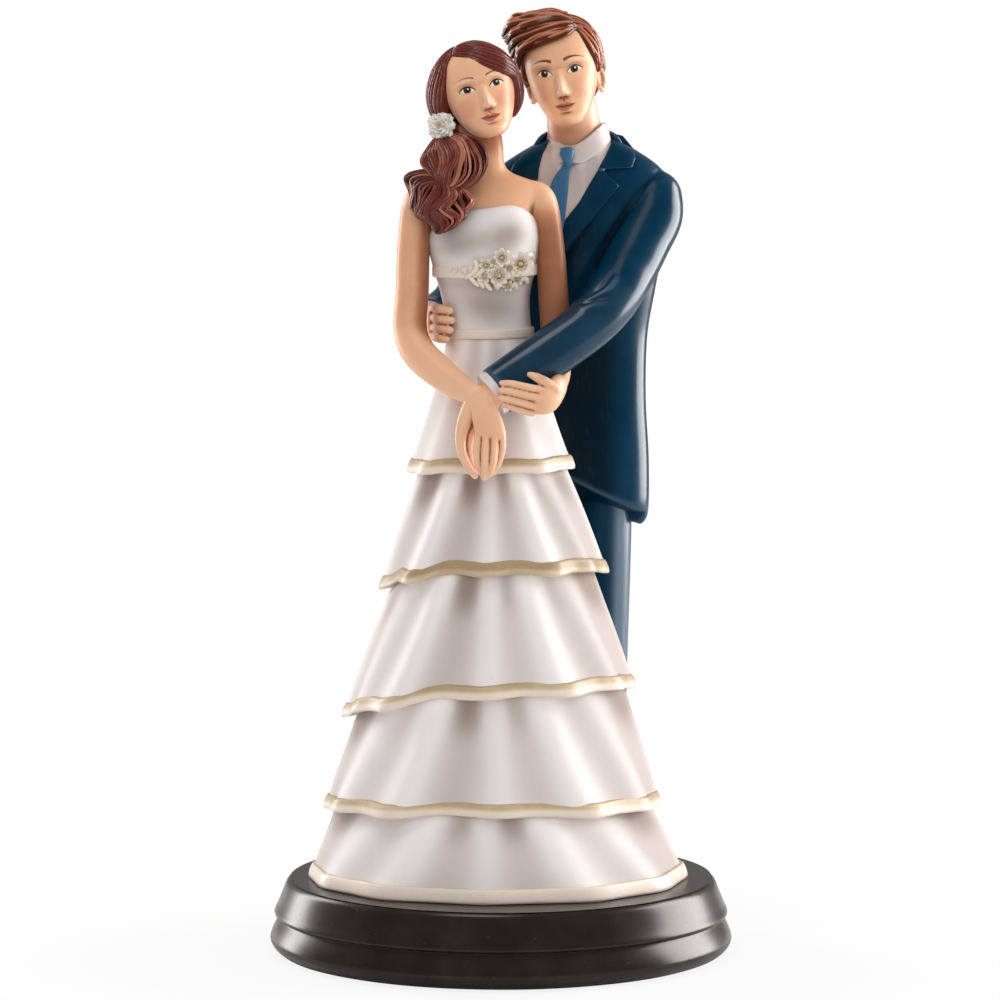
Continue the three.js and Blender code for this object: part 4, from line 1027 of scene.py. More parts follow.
def face_paint(name, lip, brow, lash, blush):
    """Flesh with painted brows, eyes and lips, placed by the head's own shares across and up."""
    paint = skin_paint(name, (0.03, 0.24))
    tone = Term(paint, paint.shader.inputs["Base Color"].links[0].from_socket)
    parts = paint.node("ShaderNodeSeparateXYZ", inputs={0: paint.stored("face", "Vector")})
    u, w, v = (Term(paint, parts.socket.node.outputs[k]) for k in range(3))
    side = abs(u)
    front = (-w).step(0.3, 0.5)
    # The colour of the painted shade round the eyes and at the face's edge
    face_shade = toned(colour("skin"), 0.6, "a8623f")

    def blot(cu, cv, ru, rv):
        """A soft round blot on each side."""
        x, y = (side - cu) / ru, (v - cv) / rv
        return (1 - (x * x + y * y)).step(0, 1)

    def dot(x, y, radius, soft):
        """A round dot, from places measured from its middle."""
        return (radius - (x * x + y * y) ** 0.5).step(0, soft)

    def stroke(line, half, soft):
        """A stroke along a line, of a half thickness."""
        return (half - abs(v - line)).step(0, soft)

    def filled(low, high, soft):
        """The space between two lines."""
        return (high - v).step(0, soft) * (v - low).step(0, soft)

    across = (side - 0.4) / 0.205
    arch = 1 - across * across
    middle = 0.012 + across * 0.02
    upper, lower = middle + arch * 0.082, middle - arch * 0.05
    opened = filled(lower, upper, 0.012) * arch.step(0, 0.06)
    x, y, higher = (side - 0.4) * 8, (v - 0.03) * 10.6, (v - 0.055) * 10.6
    glints = [dot((u - place) * 8, higher, 0.2, 0.05) for place in (0.425, -0.375)]
    along = (side - 0.43) / 0.27
    thick = brow * (1.2 - (along + 1) * 0.45) + (paint.noise(0.35, 2) - 0.5) * 0.012
    brows = stroke(0.225 + (1 - along * along) * 0.05, thick, 0.016) * (1 - along * along).step(0, 0.08)
    line = -0.63 + u * u * 0.35
    spread = u / 0.27
    bow = 1 - spread * spread
    dip = 1 - (1 - (u / 0.07) * (u / 0.07)).step(0, 1) * 0.28
    mouth = filled(line - bow * 0.095, line + bow * dip * 0.075, 0.016) * bow.step(0, 0.06)
    for share, over in (
        (blot(0.54, -0.32, 0.34, 0.26) * blush, "dc7c66"),
        # Painted shade round the eye sockets and along the face's edge
        (blot(0.4, 0.1, 0.34, 0.13) * 0.35, face_shade),
        (side.step(0.66, 0.95) * 0.4, face_shade),
        # Painted shade in the nostrils
        (blot(0.07, -0.455, 0.05, 0.025) * 0.8, "8c4526"),
        (opened, "f1ece6"),
        (opened * dot(x, y, 0.82, 0.08), "4a2a18"),
        (opened * dot(x, y, 0.42, 0.08), "120b08"),
        (opened * glints[0].most(glints[1]), "ffffff"),
        (stroke(upper + 0.055, 0.012, 0.012) * arch.step(0, 0.3) * 0.6, "8c4a2c"),
        (stroke(upper + 0.006, lash, 0.01) * (arch + 0.12).step(0, 0.05), "2a1710"),
        (stroke(lower, 0.008, 0.01) * arch.step(0, 0.1) * 0.6, "6a3a26"),
        (brows * 0.9, "5a2f1e"),
        (mouth * 0.85, lip),
        (stroke(line, 0.011, 0.01) * (bow + 0.05).step(0, 0.06) * 0.85, "7a3226"),
    ):
        tone = paint.mix(share * front, tone, over)
    return paint.set("Base Color", tone)


def head_piece(name, head, relief, others, dusk):
    """A head with other rings, such as a neck, that carry no face. Dusk, the painted shade, is a function
    of height.
    """
    points, face = head_rings(head, relief=relief)
    skin = Skin().grid(posed(points, head))
    faces = [np.concatenate([face[:1], face, face[-1:]]).reshape(-1, 3)]
    for rings in others:
        skin.grid(rings)
        faces.append(np.zeros(((rings.shape[0] + 2) * rings.shape[1], 3)))
    piece = skin.made(name)
    mark(piece.data, "face", np.concatenate(faces))
    mark_hollows(piece, 60)
    mark(piece.data, "dusk", dusk(points_of(piece.data)[:, 2] - WAIST))
    return piece


GROOM_NECK = ((16.3, 14, 33, 5.9), (16.1, 13.2, 39, 5.8), (15.4, 12, 44.5, 5.6), (14.6, 11, 50, 5.2))
# Share of the ear's size and rise, from the middle of its face over the rim to the middle of its back
EAR_PROFILE = (
    (0.05, 0.1), (0.3, 0.12), (0.52, 0.3), (0.72, 0.72), (0.9, 0.78), (1, 0.35), (0.9, -0.1), (0.5, -0.4),
    (0.05, -0.5),
)


class TOPPER_OT_heads(bpy.types.Operator):
    """Builds both heads with their painted faces, and the groom's neck and ears"""

    bl_idname = "topper.heads"
    bl_label = "Heads"

    def execute(self, context):
        """Skulls as rings from chin to crown, a neck as a ring along a line, and ears as leaves."""
        # The dusk below the chin and down the neck is painted shade
        bride = head_piece("bride_face", BRIDE_HEAD, 0.88, [], lambda z: 0.5 * ease(z, 45, 41))
        rosy = face_paint("bride_face_paint", "b9574d", 0.022, 0.022, 0.38)
        dressed(bride, rosy, "skin", "bride_head")
        others = [limb(GROOM_NECK, 40, 48), *(posed(self.ear(side), GROOM_HEAD) for side in (-1, 1))]
        groom = head_piece("groom_face", GROOM_HEAD, 1.05, others, lambda z: 0.75 * ease(z, 47, 42))
        plain = face_paint("groom_face_paint", "b4664f", 0.034, 0.016, 0.25)
        dressed(groom, plain, "skin", "groom_head")
        return {"FINISHED"}

    def ear(self, side):
        """A leaf with a raised rim: its profile turned round an oval, then leaned out from the head."""
        profile = smooth_through(EAR_PROFILE, np.linspace(0, 1, 34))
        share, rise = profile[:, :1], profile[:, 1:]
        angle = turn(48)
        lobe = 1 - 0.3 * ease(-np.cos(angle), 0, 1)
        along, up = share * 1.9 * lobe * np.sin(angle), share * 3.1 * np.cos(angle)
        lean = math.radians(24)
        x = side * (6.6 + rise * math.cos(lean) + (along + 1.2) * math.sin(lean))
        y = 1.4 - rise * math.sin(lean) + along * math.cos(lean) - 0.12 * up
        return np.stack(np.broadcast_arrays(x, y, up - 2.2), -1)


# Hair


def hair_paint(name, base, groove=0.92):
    """Brown paint with painted shade in the grooves and a rosy painted highlight, laid with a dry brush, on
    the ridges.
    """
    paint = Paint(name, coat=0.48, specular=0.08)
    paint.set("Coat Roughness", 0.14)
    depth = paint.stored("hollow")
    cloud, fine = paint.noise(2.4, 4), paint.noise(0.35, 3)
    sunk = depth + (fine - 0.5) * 0.12
    # Painted shade in the grooves
    tone = paint.mix(sunk.step(-0.06, 0.22), base, toned(base, groove, "1a0603"))
    # Painted highlight on the ridges
    brushed_highlight = (-sunk + (cloud - 0.5) * 0.3).step(0.12, 0.4)
    tone = paint.mix(brushed_highlight * 0.85, tone, toned(base, 0.66, "df9474"))
    tone = paint.mix((cloud - 0.4) * 0.5, tone, toned(base, 0.45, "2a0e08"))
    rough = 0.24 + cloud * 0.1 + fine * 0.08
    return paint.finish(tone, rough, fine * 0.6 + cloud * 0.4, 0.06, 0.4)


def scalp(head, azimuth, elevation, lift, shift):
    """Points over a head: degrees round from the face and up from its middle, and a lift off the skull."""
    a, b, c = head["half"]
    az, el = np.radians(azimuth), np.radians(elevation)
    x = (a + lift) * np.cos(el) * np.sin(az)
    y = -(b + lift) * np.cos(el) * np.cos(az)
    return np.stack([x, y, (c + lift) * np.sin(el)], -1) + np.array(shift)


def ridges(place, count, seed):
    """Rounded ridges with sharp grooves between, of uneven widths: 0 in a groove and 1 on a ridge.

    The second value is a tone from -1 to 1 that stays the same over a ridge.
    """
    rng = np.random.default_rng(seed)
    edges = np.concatenate([[0], np.cumsum(rng.uniform(0.6, 1.4, count))])
    edges = edges / edges[-1]
    x = np.interp(np.clip(place, 0, 1), edges, np.arange(count + 1))
    tone = rng.uniform(-1, 1, count + 1)[x.astype(int)]
    return np.sqrt(np.clip(1 - (2 * (x % 1) - 1) ** 2, 0, 1)), tone


def add_sheet(skin, head, guides, strands, lift, shift, seed, rows=80, waver=0.03):
    """Combed hair between guide lines over a head, each of [degrees round, degrees up, extra lift].

    A strand is a ridge that follows the guides, and a finer set of ridges lies on it. The underside runs
    back inside the head, so that the sheet is closed.
    """
    across = 12 * strands
    u, v = np.linspace(0, 1, rows), np.linspace(0, 1, across)
    lines = np.stack([smooth_through(np.asarray(g, float), u) for g in guides], 1)
    angles = np.stack([smooth_through(row, v) for row in lines])
    sway = v[None] + waver * np.sin(5 * u[:, None] + 9 * v[None] + seed) * np.sin(math.pi * u[:, None])
    (coarse, tone), (fine, sheen) = ridges(sway, strands, seed), ridges(sway, strands * 3, seed + 1)
    groove = size("groove_depth") * (coarse - 0.6 + 0.35 * fine)
    ends, sides = (np.sqrt(np.clip(1 - (2 * w - 1) ** power, 0, 1)) for w, power in ((u, 16), (v, 12)))
    edge = sides[None] * ends[:, None]
    azimuth, elevation, extra = np.moveaxis(angles, -1, 0)
    top = scalp(head, azimuth, elevation, -0.6 + (lift + extra + groove + 0.6) * edge, shift)
    low = scalp(head, azimuth, elevation, np.full((rows, across), -1.6), shift)
    # Marks for painted light: shade in the grooves and at the edges where the sheet meets the skull,
    # highlight on the ridges
    depth = 0.4 - 0.44 * coarse - 0.18 * fine + 0.2 * (1 - edge) + 0.07 * tone + 0.07 * sheen
    marks = np.concatenate([depth, np.full((rows, across), 0.3)], 1)
    skin.grid(posed(np.concatenate([top, low[:, ::-1]], 1), head), hollow=marks)


def add_lock(skin, path, middle, wide, thick, tip, furrows, tone, rows=44, columns=36):
    """A tapered strand along a smooth line, with furrows along it, that faces away from a middle point."""
    t = np.linspace(0, 1, rows)
    line = smooth_through(np.asarray(path, float), t)
    taper = (tip + (1 - tip) * np.sin(math.pi * np.clip(t * 0.8 + 0.2, 0, 1)) ** 0.7) * ease(t, -0.12, 0.06)

    def furrow(angle):
        """Shallow waves round the strand."""
        return 1 + 0.11 * np.cos(furrows * angle)

    rings = strip(line, unit(line - middle), wide * taper, thick * taper, columns, furrow)
    angle = turn(columns)
    # Marks for painted light: highlight on the face turned outward, shade on the sides and in the furrows
    depth = 0.36 - 0.72 * ease(np.sin(angle), 0.6, 1.06) - 0.14 * np.cos(furrows * angle) + tone
    skin.grid(rings, hollow=np.tile(depth, (rows, 1)))


BRIDE_SHEETS = (
    (((-60, 57, 0), (-9, 36, 0.2), (12, 20, 0.4), (34, 9, 0.6), (62, 0, 0.5), (72, -20, 0.2),
      (80, -45, -0.4)),
     ((-66, 68, 0), (10, 58, 0.2), (45, 42, 0.5), (66, 28, 0.8), (84, 8, 1), (89, -14, 0.8),
      (87, -37, -0.3)),
     ((-90, 80, -0.1), (70, 80, 0), (100, 60, 0.2), (110, 36, 0.5), (114, 12, 0.7), (114, -8, 0.3),
      (104, -29, -0.8))),
    (((-39, 58, 0), (-45, 42, 0.3), (-48, 26, 0.5), (-56, 12, 0.7), (-65, -2, 1), (-72, -15, 1.2),
      (-88, -26, 1)),
     ((-38, 69, 0), (-68, 48, 0.6), (-78, 26, 1.3), (-84, 8, 1.9), (-88, -8, 2), (-90, -18, 1.7),
      (-92, -26, 1.2)),
     ((-46, 81, -0.1), (-96, 56, 0.4), (-106, 32, 1.2), (-108, 12, 1.8), (-106, -6, 1.9),
      (-102, -18, 1.6), (-98, -29, 1.2))),
    (((-70, 84, -0.3), (-100, 54, 0.2), (-110, 26, 0.5), (-110, 4, 0.7), (-106, -14, 0.8),
      (-99, -30, 0.8)),
     ((-120, 88, -0.1), (-160, 54, 0.3), (-166, 24, 0.6), (-158, -4, 0.7), (-138, -24, 0.8),
      (-110, -35, 0.8)),
     ((-200, 88, -0.1), (-212, 52, 0.3), (-216, 20, 0.5), (-205, -12, 0.5), (-172, -33, 0.6),
      (-120, -42, 0.6)),
     ((-268, 85, -0.1), (-250, 50, 0.2), (-244, 16, 0.3), (-238, -18, 0.2), (-205, -44, 0.2),
      (-132, -52, 0.4))),
)
# Lines of [x, y, height above the waist] that bound the hair gathered over the bride's shoulder
TAIL_FAN = (
    ((-13.4, -6.4, 41.4), (-14.9, -7.4, 39.8), (-15.6, -8.2, 38), (-15.4, -8.8, 36.2),
     (-14.6, -9.4, 34.6), (-13.4, -9.8, 33.2), (-12.4, -10, 32)),
    ((-12.8, -7, 41.6), (-12.6, -9.4, 40.2), (-12.6, -10.8, 38.4), (-12.5, -11.4, 36.6),
     (-12.3, -11.4, 35), (-12.1, -11.2, 33.4), (-11.9, -10.8, 31.8)),
    ((-11.8, -7.2, 42), (-9.6, -10, 41), (-8.3, -11.6, 39), (-8, -12.2, 37), (-8.7, -12.2, 34.8),
     (-10, -11.8, 33), (-11.4, -11, 31.4)),
    ((-10.8, -7.2, 42), (-7.4, -9, 42), (-5, -9.8, 40.4), (-3.9, -9.9, 37.8), (-4.2, -9.8, 34.6),
     (-6.6, -9.8, 31.9), (-10.2, -10, 31.2)),
)
TAIL_CURLS = (
    ((-12.4, -9.4, 33.6), (-15.4, -7.6, 34.8), (-18.6, -5.6, 33.4), (-19.4, -5, 31),
     (-18.4, -5.4, 28.8), (-16.4, -6.6, 27)),
    ((-12.2, -10.2, 32.8), (-14.6, -9.6, 32.2), (-17, -8.4, 30), (-17.4, -8.2, 27.6),
     (-16.6, -8.6, 25.6), (-15.2, -9, 24.6)),
    ((-11.9, -10.8, 32.4), (-13, -11, 30.2), (-14.8, -10.8, 27.8), (-14.4, -10.8, 25.4),
     (-13.4, -10.6, 23.6), (-13.8, -10.2, 22.3)),
    ((-11.4, -10.9, 32.2), (-10.4, -11.6, 29.8), (-11.4, -11.8, 27.2), (-10, -11.6, 25),
     (-11, -11.2, 23.4), (-12, -10.6, 22.2)),
    ((-10.6, -10.4, 32), (-7.6, -10.6, 30.6), (-7, -10.4, 28.6), (-8.4, -10.4, 27), (-7, -10.2, 25.6),
     (-8.6, -9.8, 24.8)),
)
TAIL_FAN_CORE = (
    (-11.6, -4.2, 42.4, 1.6), (-10.6, -6.4, 40.4, 3.2), (-9.4, -8, 37.4, 4.2), (-9.6, -8.4, 34.2, 3.9),
    (-11.4, -8.2, 31.4, 2.6),
)
TAIL_CURL_CORE = (
    (-15.6, -5, 32, 1.4), (-14, -7, 30.2, 2.4), (-12.4, -8, 28, 3.2), (-11.6, -8.8, 25.4, 2.4),
    (-12, -9.4, 23.8, 1.2),
)


def between(lines, share):
    """A line between bounding lines, a share of the way across them."""
    stack = np.asarray(lines, float)
    return np.stack([smooth_through(stack[:, k], np.array([share]))[0] for k in range(stack.shape[1])])


def add_cap(skin, head, depth, shift):
    """The skull's rings grown and set back, cut off above the jaw in front and at the nape behind."""
    points, _ = head_rings(head, 90, 120, depth, 0.0)
    points[..., :2] *= 1 - 0.25 * ease(-points[..., 1:2], -1.5, 2.5)
    low = (-0.02 - 0.5 * ease(points[..., 1], 3, 8)) * head["half"][2]
    points[..., 2] = np.maximum(points[..., 2], low)
    skin.grid(posed(points + np.array(shift), head), hollow=np.full(points.shape[:2], 0.08))


class TOPPER_OT_bride_hair(bpy.types.Operator):
    """Builds the bride's combed hair and the tail over one shoulder"""

    bl_idname = "topper.bride_hair"
    bl_label = "Bride's hair"

    def execute(self, context):
        """Sheets of ridges over the skull, and tapered strands along lines between bounding lines."""
        paint = hair_paint("bride_hair_paint", colour("bride_hair"))
        skin = Skin()
        add_cap(skin, BRIDE_HEAD, 0.15, (-0.2, 0.5, 0.1))
        for index, (guides, count) in enumerate(zip(BRIDE_SHEETS, (12, 11, 22))):
            add_sheet(skin, BRIDE_HEAD, guides, count, 0.7, (-0.2, 0.9, 0.2), index + 3)
        dressed(skin.made("bride_hair_strands"), paint, "hair", "bride_hair")
        look = {"middle": (-9.8, -4, 37), "count": 19, "wave": 0.5, "waves": 1.5, "tip": 0.45}
        self.tail("bride_tail_strands", "bride_ponytail", TAIL_FAN, TAIL_FAN_CORE, paint, **look)
        look = {"middle": (-12, -4, 28), "count": 21, "wave": 0.8, "waves": 1.7, "tip": 0.35}
        self.tail("bride_curl_strands", "bride_curls", TAIL_CURLS, TAIL_CURL_CORE, paint, **look)
        return {"FINISHED"}

    def tail(self, name, node, lines, core, paint, middle, count, wave, waves, tip):
        """Strands spread over bounding lines, round a core painted dark as shade, each swayed by a spiral.

        A strand faces away from the middle. Its spiral has a height, a number of waves and a width of tip.
        """
        rng = np.random.default_rng(count)
        rings = limb(core, 30, 24)
        # The core is painted dark, as shade between the strands
        skin = Skin().grid(rings, hollow=np.full(rings.shape[:2], 0.25))
        for share in np.linspace(0, 1, count):
            t = np.linspace(0, 1, 30)
            line = smooth_through(between(lines, share) + TO_WAIST, t)
            turns = TAU * (t * waves + 1.4 * share + rng.uniform(0, 0.16))
            sway = wave * rng.uniform(0.7, 1.1) * np.sin(math.pi * t) ** 0.5
            spiral = np.stack([np.sin(turns), 0.7 * np.cos(turns + 1), 0.4 * np.cos(turns)], 1)
            tone, half = rng.uniform(-0.22, 0.3), 0.7 * rng.uniform(0.65, 1.4)
            line = line + sway[:, None] * spiral
            add_lock(skin, line, middle + TO_WAIST, half, 0.95, tip, 6, tone)
        dressed(skin.made(name), paint, "hair", node)


GROOM_SHEETS = (
    (((50, 48.5, 0.2), (14, 40.5, 0.6), (-20, 36, 1), (-56, 30, 1.4), (-76, 23, 1.2)),
     ((52, 56, 0.4), (6, 58, 1.2), (-38, 54, 1.8), (-66, 44, 2.2), (-82, 34, 1.8)),
     ((58, 64, 0.4), (0, 72, 1.2), (-66, 66, 1.8), (-82, 52, 1.9), (-90, 36, 1.4)),
     ((80, 74, 0.3), (120, 84, 0.9), (-112, 74, 1.3), (-108, 52, 1.2), (-106, 30, 0.8))),
    (((52, 49, 0), (48, 32, 0.3), (55, 16, 0.3), (66, 4, 0.2), (72, -6, -0.2)),
     ((60, 62, 0.2), (70, 46, 0.6), (80, 28, 0.6), (86, 12, 0.4), (88, 0, 0.1)),
     ((85, 74, 0.3), (100, 54, 0.7), (110, 30, 0.7), (116, 8, 0.5), (118, -12, 0.3))),
    (((-62, 32, 0), (-66, 22, 0.4), (-70, 12, 0.3), (-73, 4, 0.1), (-75, -4, -0.2)),
     ((-84, 36, 0), (-87, 24, 0.5), (-89, 14, 0.4), (-91, 4, 0.3), (-93, -5, 0)),
     ((-108, 40, 0), (-112, 22, 0.5), (-114, 4, 0.4), (-116, -12, 0.3), (-118, -28, 0.3))),
    (((-100, 60, 0.2), (-112, 36, 0.5), (-118, 14, 0.5), (-121, -4, 0.4), (-124, -20, 0.2)),
     ((-150, 86, 0.4), (-150, 44, 0.6), (-152, 14, 0.7), (-154, -14, 0.5), (-156, -44, 0.2)),
     ((-210, 86, 0.4), (-200, 44, 0.6), (-200, 14, 0.7), (-200, -14, 0.5), (-202, -44, 0.2)),
     ((-272, 74, 0.3), (-250, 36, 0.5), (-245, 14, 0.5), (-242, -2, 0.4), (-240, -15, 0.2))),
)
# The sweep from the parting and the short side, as lines of [degrees round, degrees up, lift]
GROOM_SWEEP = (
    ((50, 48.5, 1), (14, 39.5, 1.8), (-20, 34, 2.2), (-56, 25, 2.4), (-82, 13, 1.8)),
    ((50, 53, 1.3), (10, 51, 2.2), (-30, 46, 3), (-64, 37, 4.2), (-85, 26, 4.3)),
    ((52, 58, 1.7), (6, 60, 2.8), (-42, 55, 4), (-70, 46, 5.6), (-86, 37, 6.3)),
    ((58, 64, 1.8), (0, 70, 2.6), (-58, 62, 4.2), (-78, 53, 5.7), (-88, 46, 6.5)),
    ((70, 72, 1.8), (-10, 82, 2.3), (-84, 68, 3.6), (-90, 58, 4.6), (-94, 53, 5)),
    ((100, 80, 1.5), (190, 84, 1.8), (240, 70, 2.6), (252, 56, 2.8), (254, 46, 2.4)),
)
GROOM_SIDE = (
    ((52, 50, 0.8), (50, 36, 1.2), (56, 20, 1.2), (64, 8, 0.8), (70, -1, 0.3)),
    ((60, 62, 1), (70, 46, 1.5), (80, 28, 1.5), (86, 12, 1.1), (88, 2, 0.6)),
    ((85, 74, 1.6), (100, 54, 1.8), (108, 30, 1.5), (114, 8, 1.2), (116, -8, 0.7)),
)


class TOPPER_OT_groom_hair(bpy.types.Operator):
    """Builds the groom's parted, swept hair"""

    bl_idname = "topper.groom_hair"
    bl_label = "Groom's hair"

    def execute(self, context):
        """Sheets of ridges over the skull, and locks along lines above them."""
        skin = Skin()
        shift = (0, 0.9, 0.1)
        add_cap(skin, GROOM_HEAD, 0.15, (0, 0.55, 0.1))
        for index, (guides, count) in enumerate(zip(GROOM_SHEETS, (13, 9, 8, 20))):
            add_sheet(skin, GROOM_HEAD, guides, count, 0.5, shift, index + 11, 64, 0.05)
        paint = hair_paint("groom_hair_paint", colour("groom_hair"), 0.7)
        dressed(skin.made("groom_hair_strands"), paint, "hair", "groom_hair")
        locks = Skin()
        middle = posed(np.zeros((1, 3)), GROOM_HEAD)
        rng = np.random.default_rng(4)
        for guides, count, wide in ((GROOM_SWEEP, 30, 0.95), (GROOM_SIDE, 13, 0.85)):
            azimuth, elevation, lift = np.moveaxis(np.array(guides, float), -1, 0)
            lines = posed(scalp(GROOM_HEAD, azimuth, elevation, lift - 0.5, shift), GROOM_HEAD)
            for share in np.linspace(0, 1, count):
                line = between(lines, share)
                line = line + rng.normal(0, 0.22, line.shape)
                add_lock(locks, line, middle, wide * rng.uniform(0.7, 1.4), 0.75, 0.42, 4, -0.08)
        dressed(locks.made("groom_hair_locks"), paint, "hair")
        return {"FINISHED"}


# Flowers


def add_petal(skin, base, out, up, long, wide, cup, ruffle, phase=0.0):
    """A thin leaf from its base along the out way, curling up, with a wavy rim."""
    out, up, base = (np.array(v, float) for v in (out, up, base))
    t = np.linspace(0, 1, 14)
    path = base + t[:, None] * long * out + (cup * t**2)[:, None] * up
    half = wide * np.sqrt(np.clip(np.sin(math.pi * (0.1 + 0.82 * t)), 0, 1))
    rings = strip(path, np.tile(up, (14, 1)), half, np.full(14, 0.2), 20)
    angle = turn(20)
    wave = ruffle * t[:, None] ** 2 * np.sin(3 * angle + phase)
    rings = rings + wave[..., None] * up
    # Marks for painted shade at the petal's base and painted highlight at its tip
    skin.grid(rings, hollow=np.tile(0.45 - 0.75 * t[:, None], (1, 20)), gold=np.zeros((14, 20)))


def add_bead(skin, centre, radius, gold):
    """A small ball: rings from pole to pole."""
    theta = np.linspace(0.25, math.pi - 0.25, 7)[:, None]
    angle = turn(12)
    x, y = np.sin(theta) * np.cos(angle), np.sin(theta) * np.sin(angle)
    ball = np.stack([x, y, np.cos(theta) + 0 * angle], -1)
    # The beads are marked for painted highlight
    skin.grid(np.array(centre) + radius * ball, hollow=np.full((7, 12), -0.2), gold=np.full((7, 12), gold))


def petal_paint(name, base, shade, gold):
    """Pale paint with painted shade towards the middle of each flower, painted highlight at the tips, and
    gilded beads.
    """
    paint = Paint(name, coat=0.15)
    depth, gilt = paint.stored("hollow"), paint.stored("gold")
    cloud, fine = paint.noise(1.6, 4), paint.noise(0.4, 3)
    # Painted shade towards the middle of each flower
    tone = paint.mix((depth + (cloud - 0.5) * 0.3).step(-0.1, 0.5), base, shade)
    # Painted highlight towards the tips and on the beads
    tone = paint.mix((-depth).step(0.1, 0.4) * 0.6, tone, toned(base, 0.6, (1, 1, 1)))
    tone = paint.mix(gilt, tone, paint.mix(fine, gold, toned(gold, 0.5)))
    rough = 0.34 + cloud * 0.12 + fine * 0.06
    return paint.finish(tone, rough, fine * 0.5 + cloud * 0.5, 0.06, 0.4)


HAIR_FLOWER = (-12.3, -8.2, 44.4)
FLOWER_FACING = (-0.35, -0.9, 0.1)
# Petals, length, half width, curl and lift of each layer
FLOWER_LAYERS = (
    (8, 2.9, 1.15, 0.4, 0.0), (7, 2.5, 1.05, 1.1, 0.3), (6, 1.8, 0.9, 1.4, 0.6), (5, 1.1, 0.6, 1.3, 0.9),
)
# Flowers and beads of the sash are x, height above the waist and radius. Leaves are lines of the first two.
SASH_FLOWERS = (
    (0.2, 16.9, 1.8), (4.1, 15.5, 2.5), (-0.5, 13.1, 2.3), (-3.2, 15.3, 1.5), (1.8, 14.6, 1.3),
    (1.5, 10.8, 1.2), (3.6, 12.2, 1.3), (-3.4, 12.9, 1.3), (-1.6, 16, 1.0),
)
SASH_LEAVES = (
    ((-7.4, 12.4), (-5.1, 14.6), (-5.6, 16.5)), ((-6.6, 12.8), (-5.8, 12), (-4.6, 10.8)),
    ((-4.8, 12.6), (-4.2, 11.6), (-3.6, 10.4)), ((-3.4, 12.2), (-2.9, 11.1), (-2, 9.9)),
    ((-1.4, 11.8), (-0.9, 10.9), (-0.6, 10.2)), ((2.6, 11.6), (3.1, 10.8), (3.2, 10)),
    ((5.2, 17.2), (6.2, 17.2), (6.8, 16.4)), ((4.6, 12.6), (5.3, 12), (5.6, 11.2)),
    ((-5.2, 13.2), (-4.4, 13.8), (-3.8, 14.6)),
)
SASH_BEADS = (
    (-9.6, 14, 0.75), (-7.6, 14.2, 0.8), (-8.6, 14.1, 0.4), (-2.2, 14.2, 0.45), (2.4, 17, 0.4),
    (2.2, 12.6, 0.5),
)


class TOPPER_OT_flowers(bpy.types.Operator):
    """Builds the flower in the bride's hair and the beaded spray on the sash"""

    bl_idname = "topper.flowers"
    bl_label = "Flowers"

    def execute(self, context):
        """Layers of curled leaves round a facing, and beads in rings on the bodice."""
        self.hair_flower()
        self.spray()
        return {"FINISHED"}

    def hair_flower(self):
        """Rings of petals, each layer smaller and higher than the last, round a knot of beads."""
        skin = Skin()
        centre = np.array(HAIR_FLOWER) + TO_WAIST
        facing = unit(np.array(FLOWER_FACING))
        right = unit(np.cross(facing, (0, 0, 1.0)))
        over = np.cross(right, facing)
        rng = np.random.default_rng(2)
        for layer, (count, long, wide, cup, lift) in enumerate(FLOWER_LAYERS):
            for k in range(count):
                angle = TAU * (k + 0.5 * layer + rng.uniform(-0.12, 0.12)) / count
                out = right * math.cos(angle) + over * math.sin(angle)
                reach, phase = long * rng.uniform(0.88, 1.12), rng.uniform(0, 6)
                add_petal(skin, centre + facing * lift, out, facing, reach, wide, cup, 0.4, phase)
        for k in range(6):
            angle = TAU * k / 5
            spread = 0.42 if k < 5 else 0
            spot = centre + facing * 2 + spread * (right * math.cos(angle) + over * math.sin(angle))
            add_bead(skin, spot, 0.2, 0.8)
        white = "faf6f0"
        paint = petal_paint("petal_paint", white, "b3a89c", "d8a93c")
        dressed(skin.made("hair_flower_petals"), paint, "petal", "hair_flower")

    def spray(self):
        """Small flowers with rings of beads, leaves along short lines, and loose beads on the bodice."""
        skin = Skin()

        def at(x, z, out):
            """A place a little out from the bodice."""
            return np.array([x, bodice_front(x, z) - out, z + WAIST])

        front, rng = np.array([0, -1.0, 0]), np.random.default_rng(9)
        for x, z, radius in SASH_FLOWERS:
            count = 8 if radius > 1.5 else 6
            for k in range(count):
                angle = TAU * (k + rng.uniform(-0.1, 0.1)) / count
                out = np.array([math.cos(angle), 0, math.sin(angle)])
                reach = radius * rng.uniform(0.85, 1.1)
                add_petal(skin, at(x, z, 0.4), out, front, reach, radius * 0.36, 0.75, 0.12)
                add_bead(skin, at(x, z, 0.95) + out * radius * 0.42, radius * 0.15, 0.6)
            add_bead(skin, at(x, z, 1.2), radius * 0.2, 0.7)
        for line in SASH_LEAVES:
            path = np.stack([at(x, z, 0.75) for x, z in line])
            t = np.linspace(0, 1, 16)
            half = 0.55 * np.sqrt(np.clip(np.sin(math.pi * (0.08 + 0.86 * t)), 0, 1))
            rings = strip(smooth_through(path, t), np.tile(front, (16, 1)), half, half * 0.8, 16)
            # Marks for painted highlight on the leaf's front and painted shade on its back
            skin.grid(rings, hollow=np.tile(0.3 - 0.6 * np.sin(turn(16)), (16, 1)), gold=np.zeros((16, 16)))
        for x, z, radius in SASH_BEADS:
            add_bead(skin, at(x, z, 0.5), radius, 0.15)
        paint = petal_paint("spray_paint", "efe4d2", "9a8666", "cdb07c")
        dressed(skin.made("sash_spray"), paint, "ornament", "sash_ornament")


# Suit

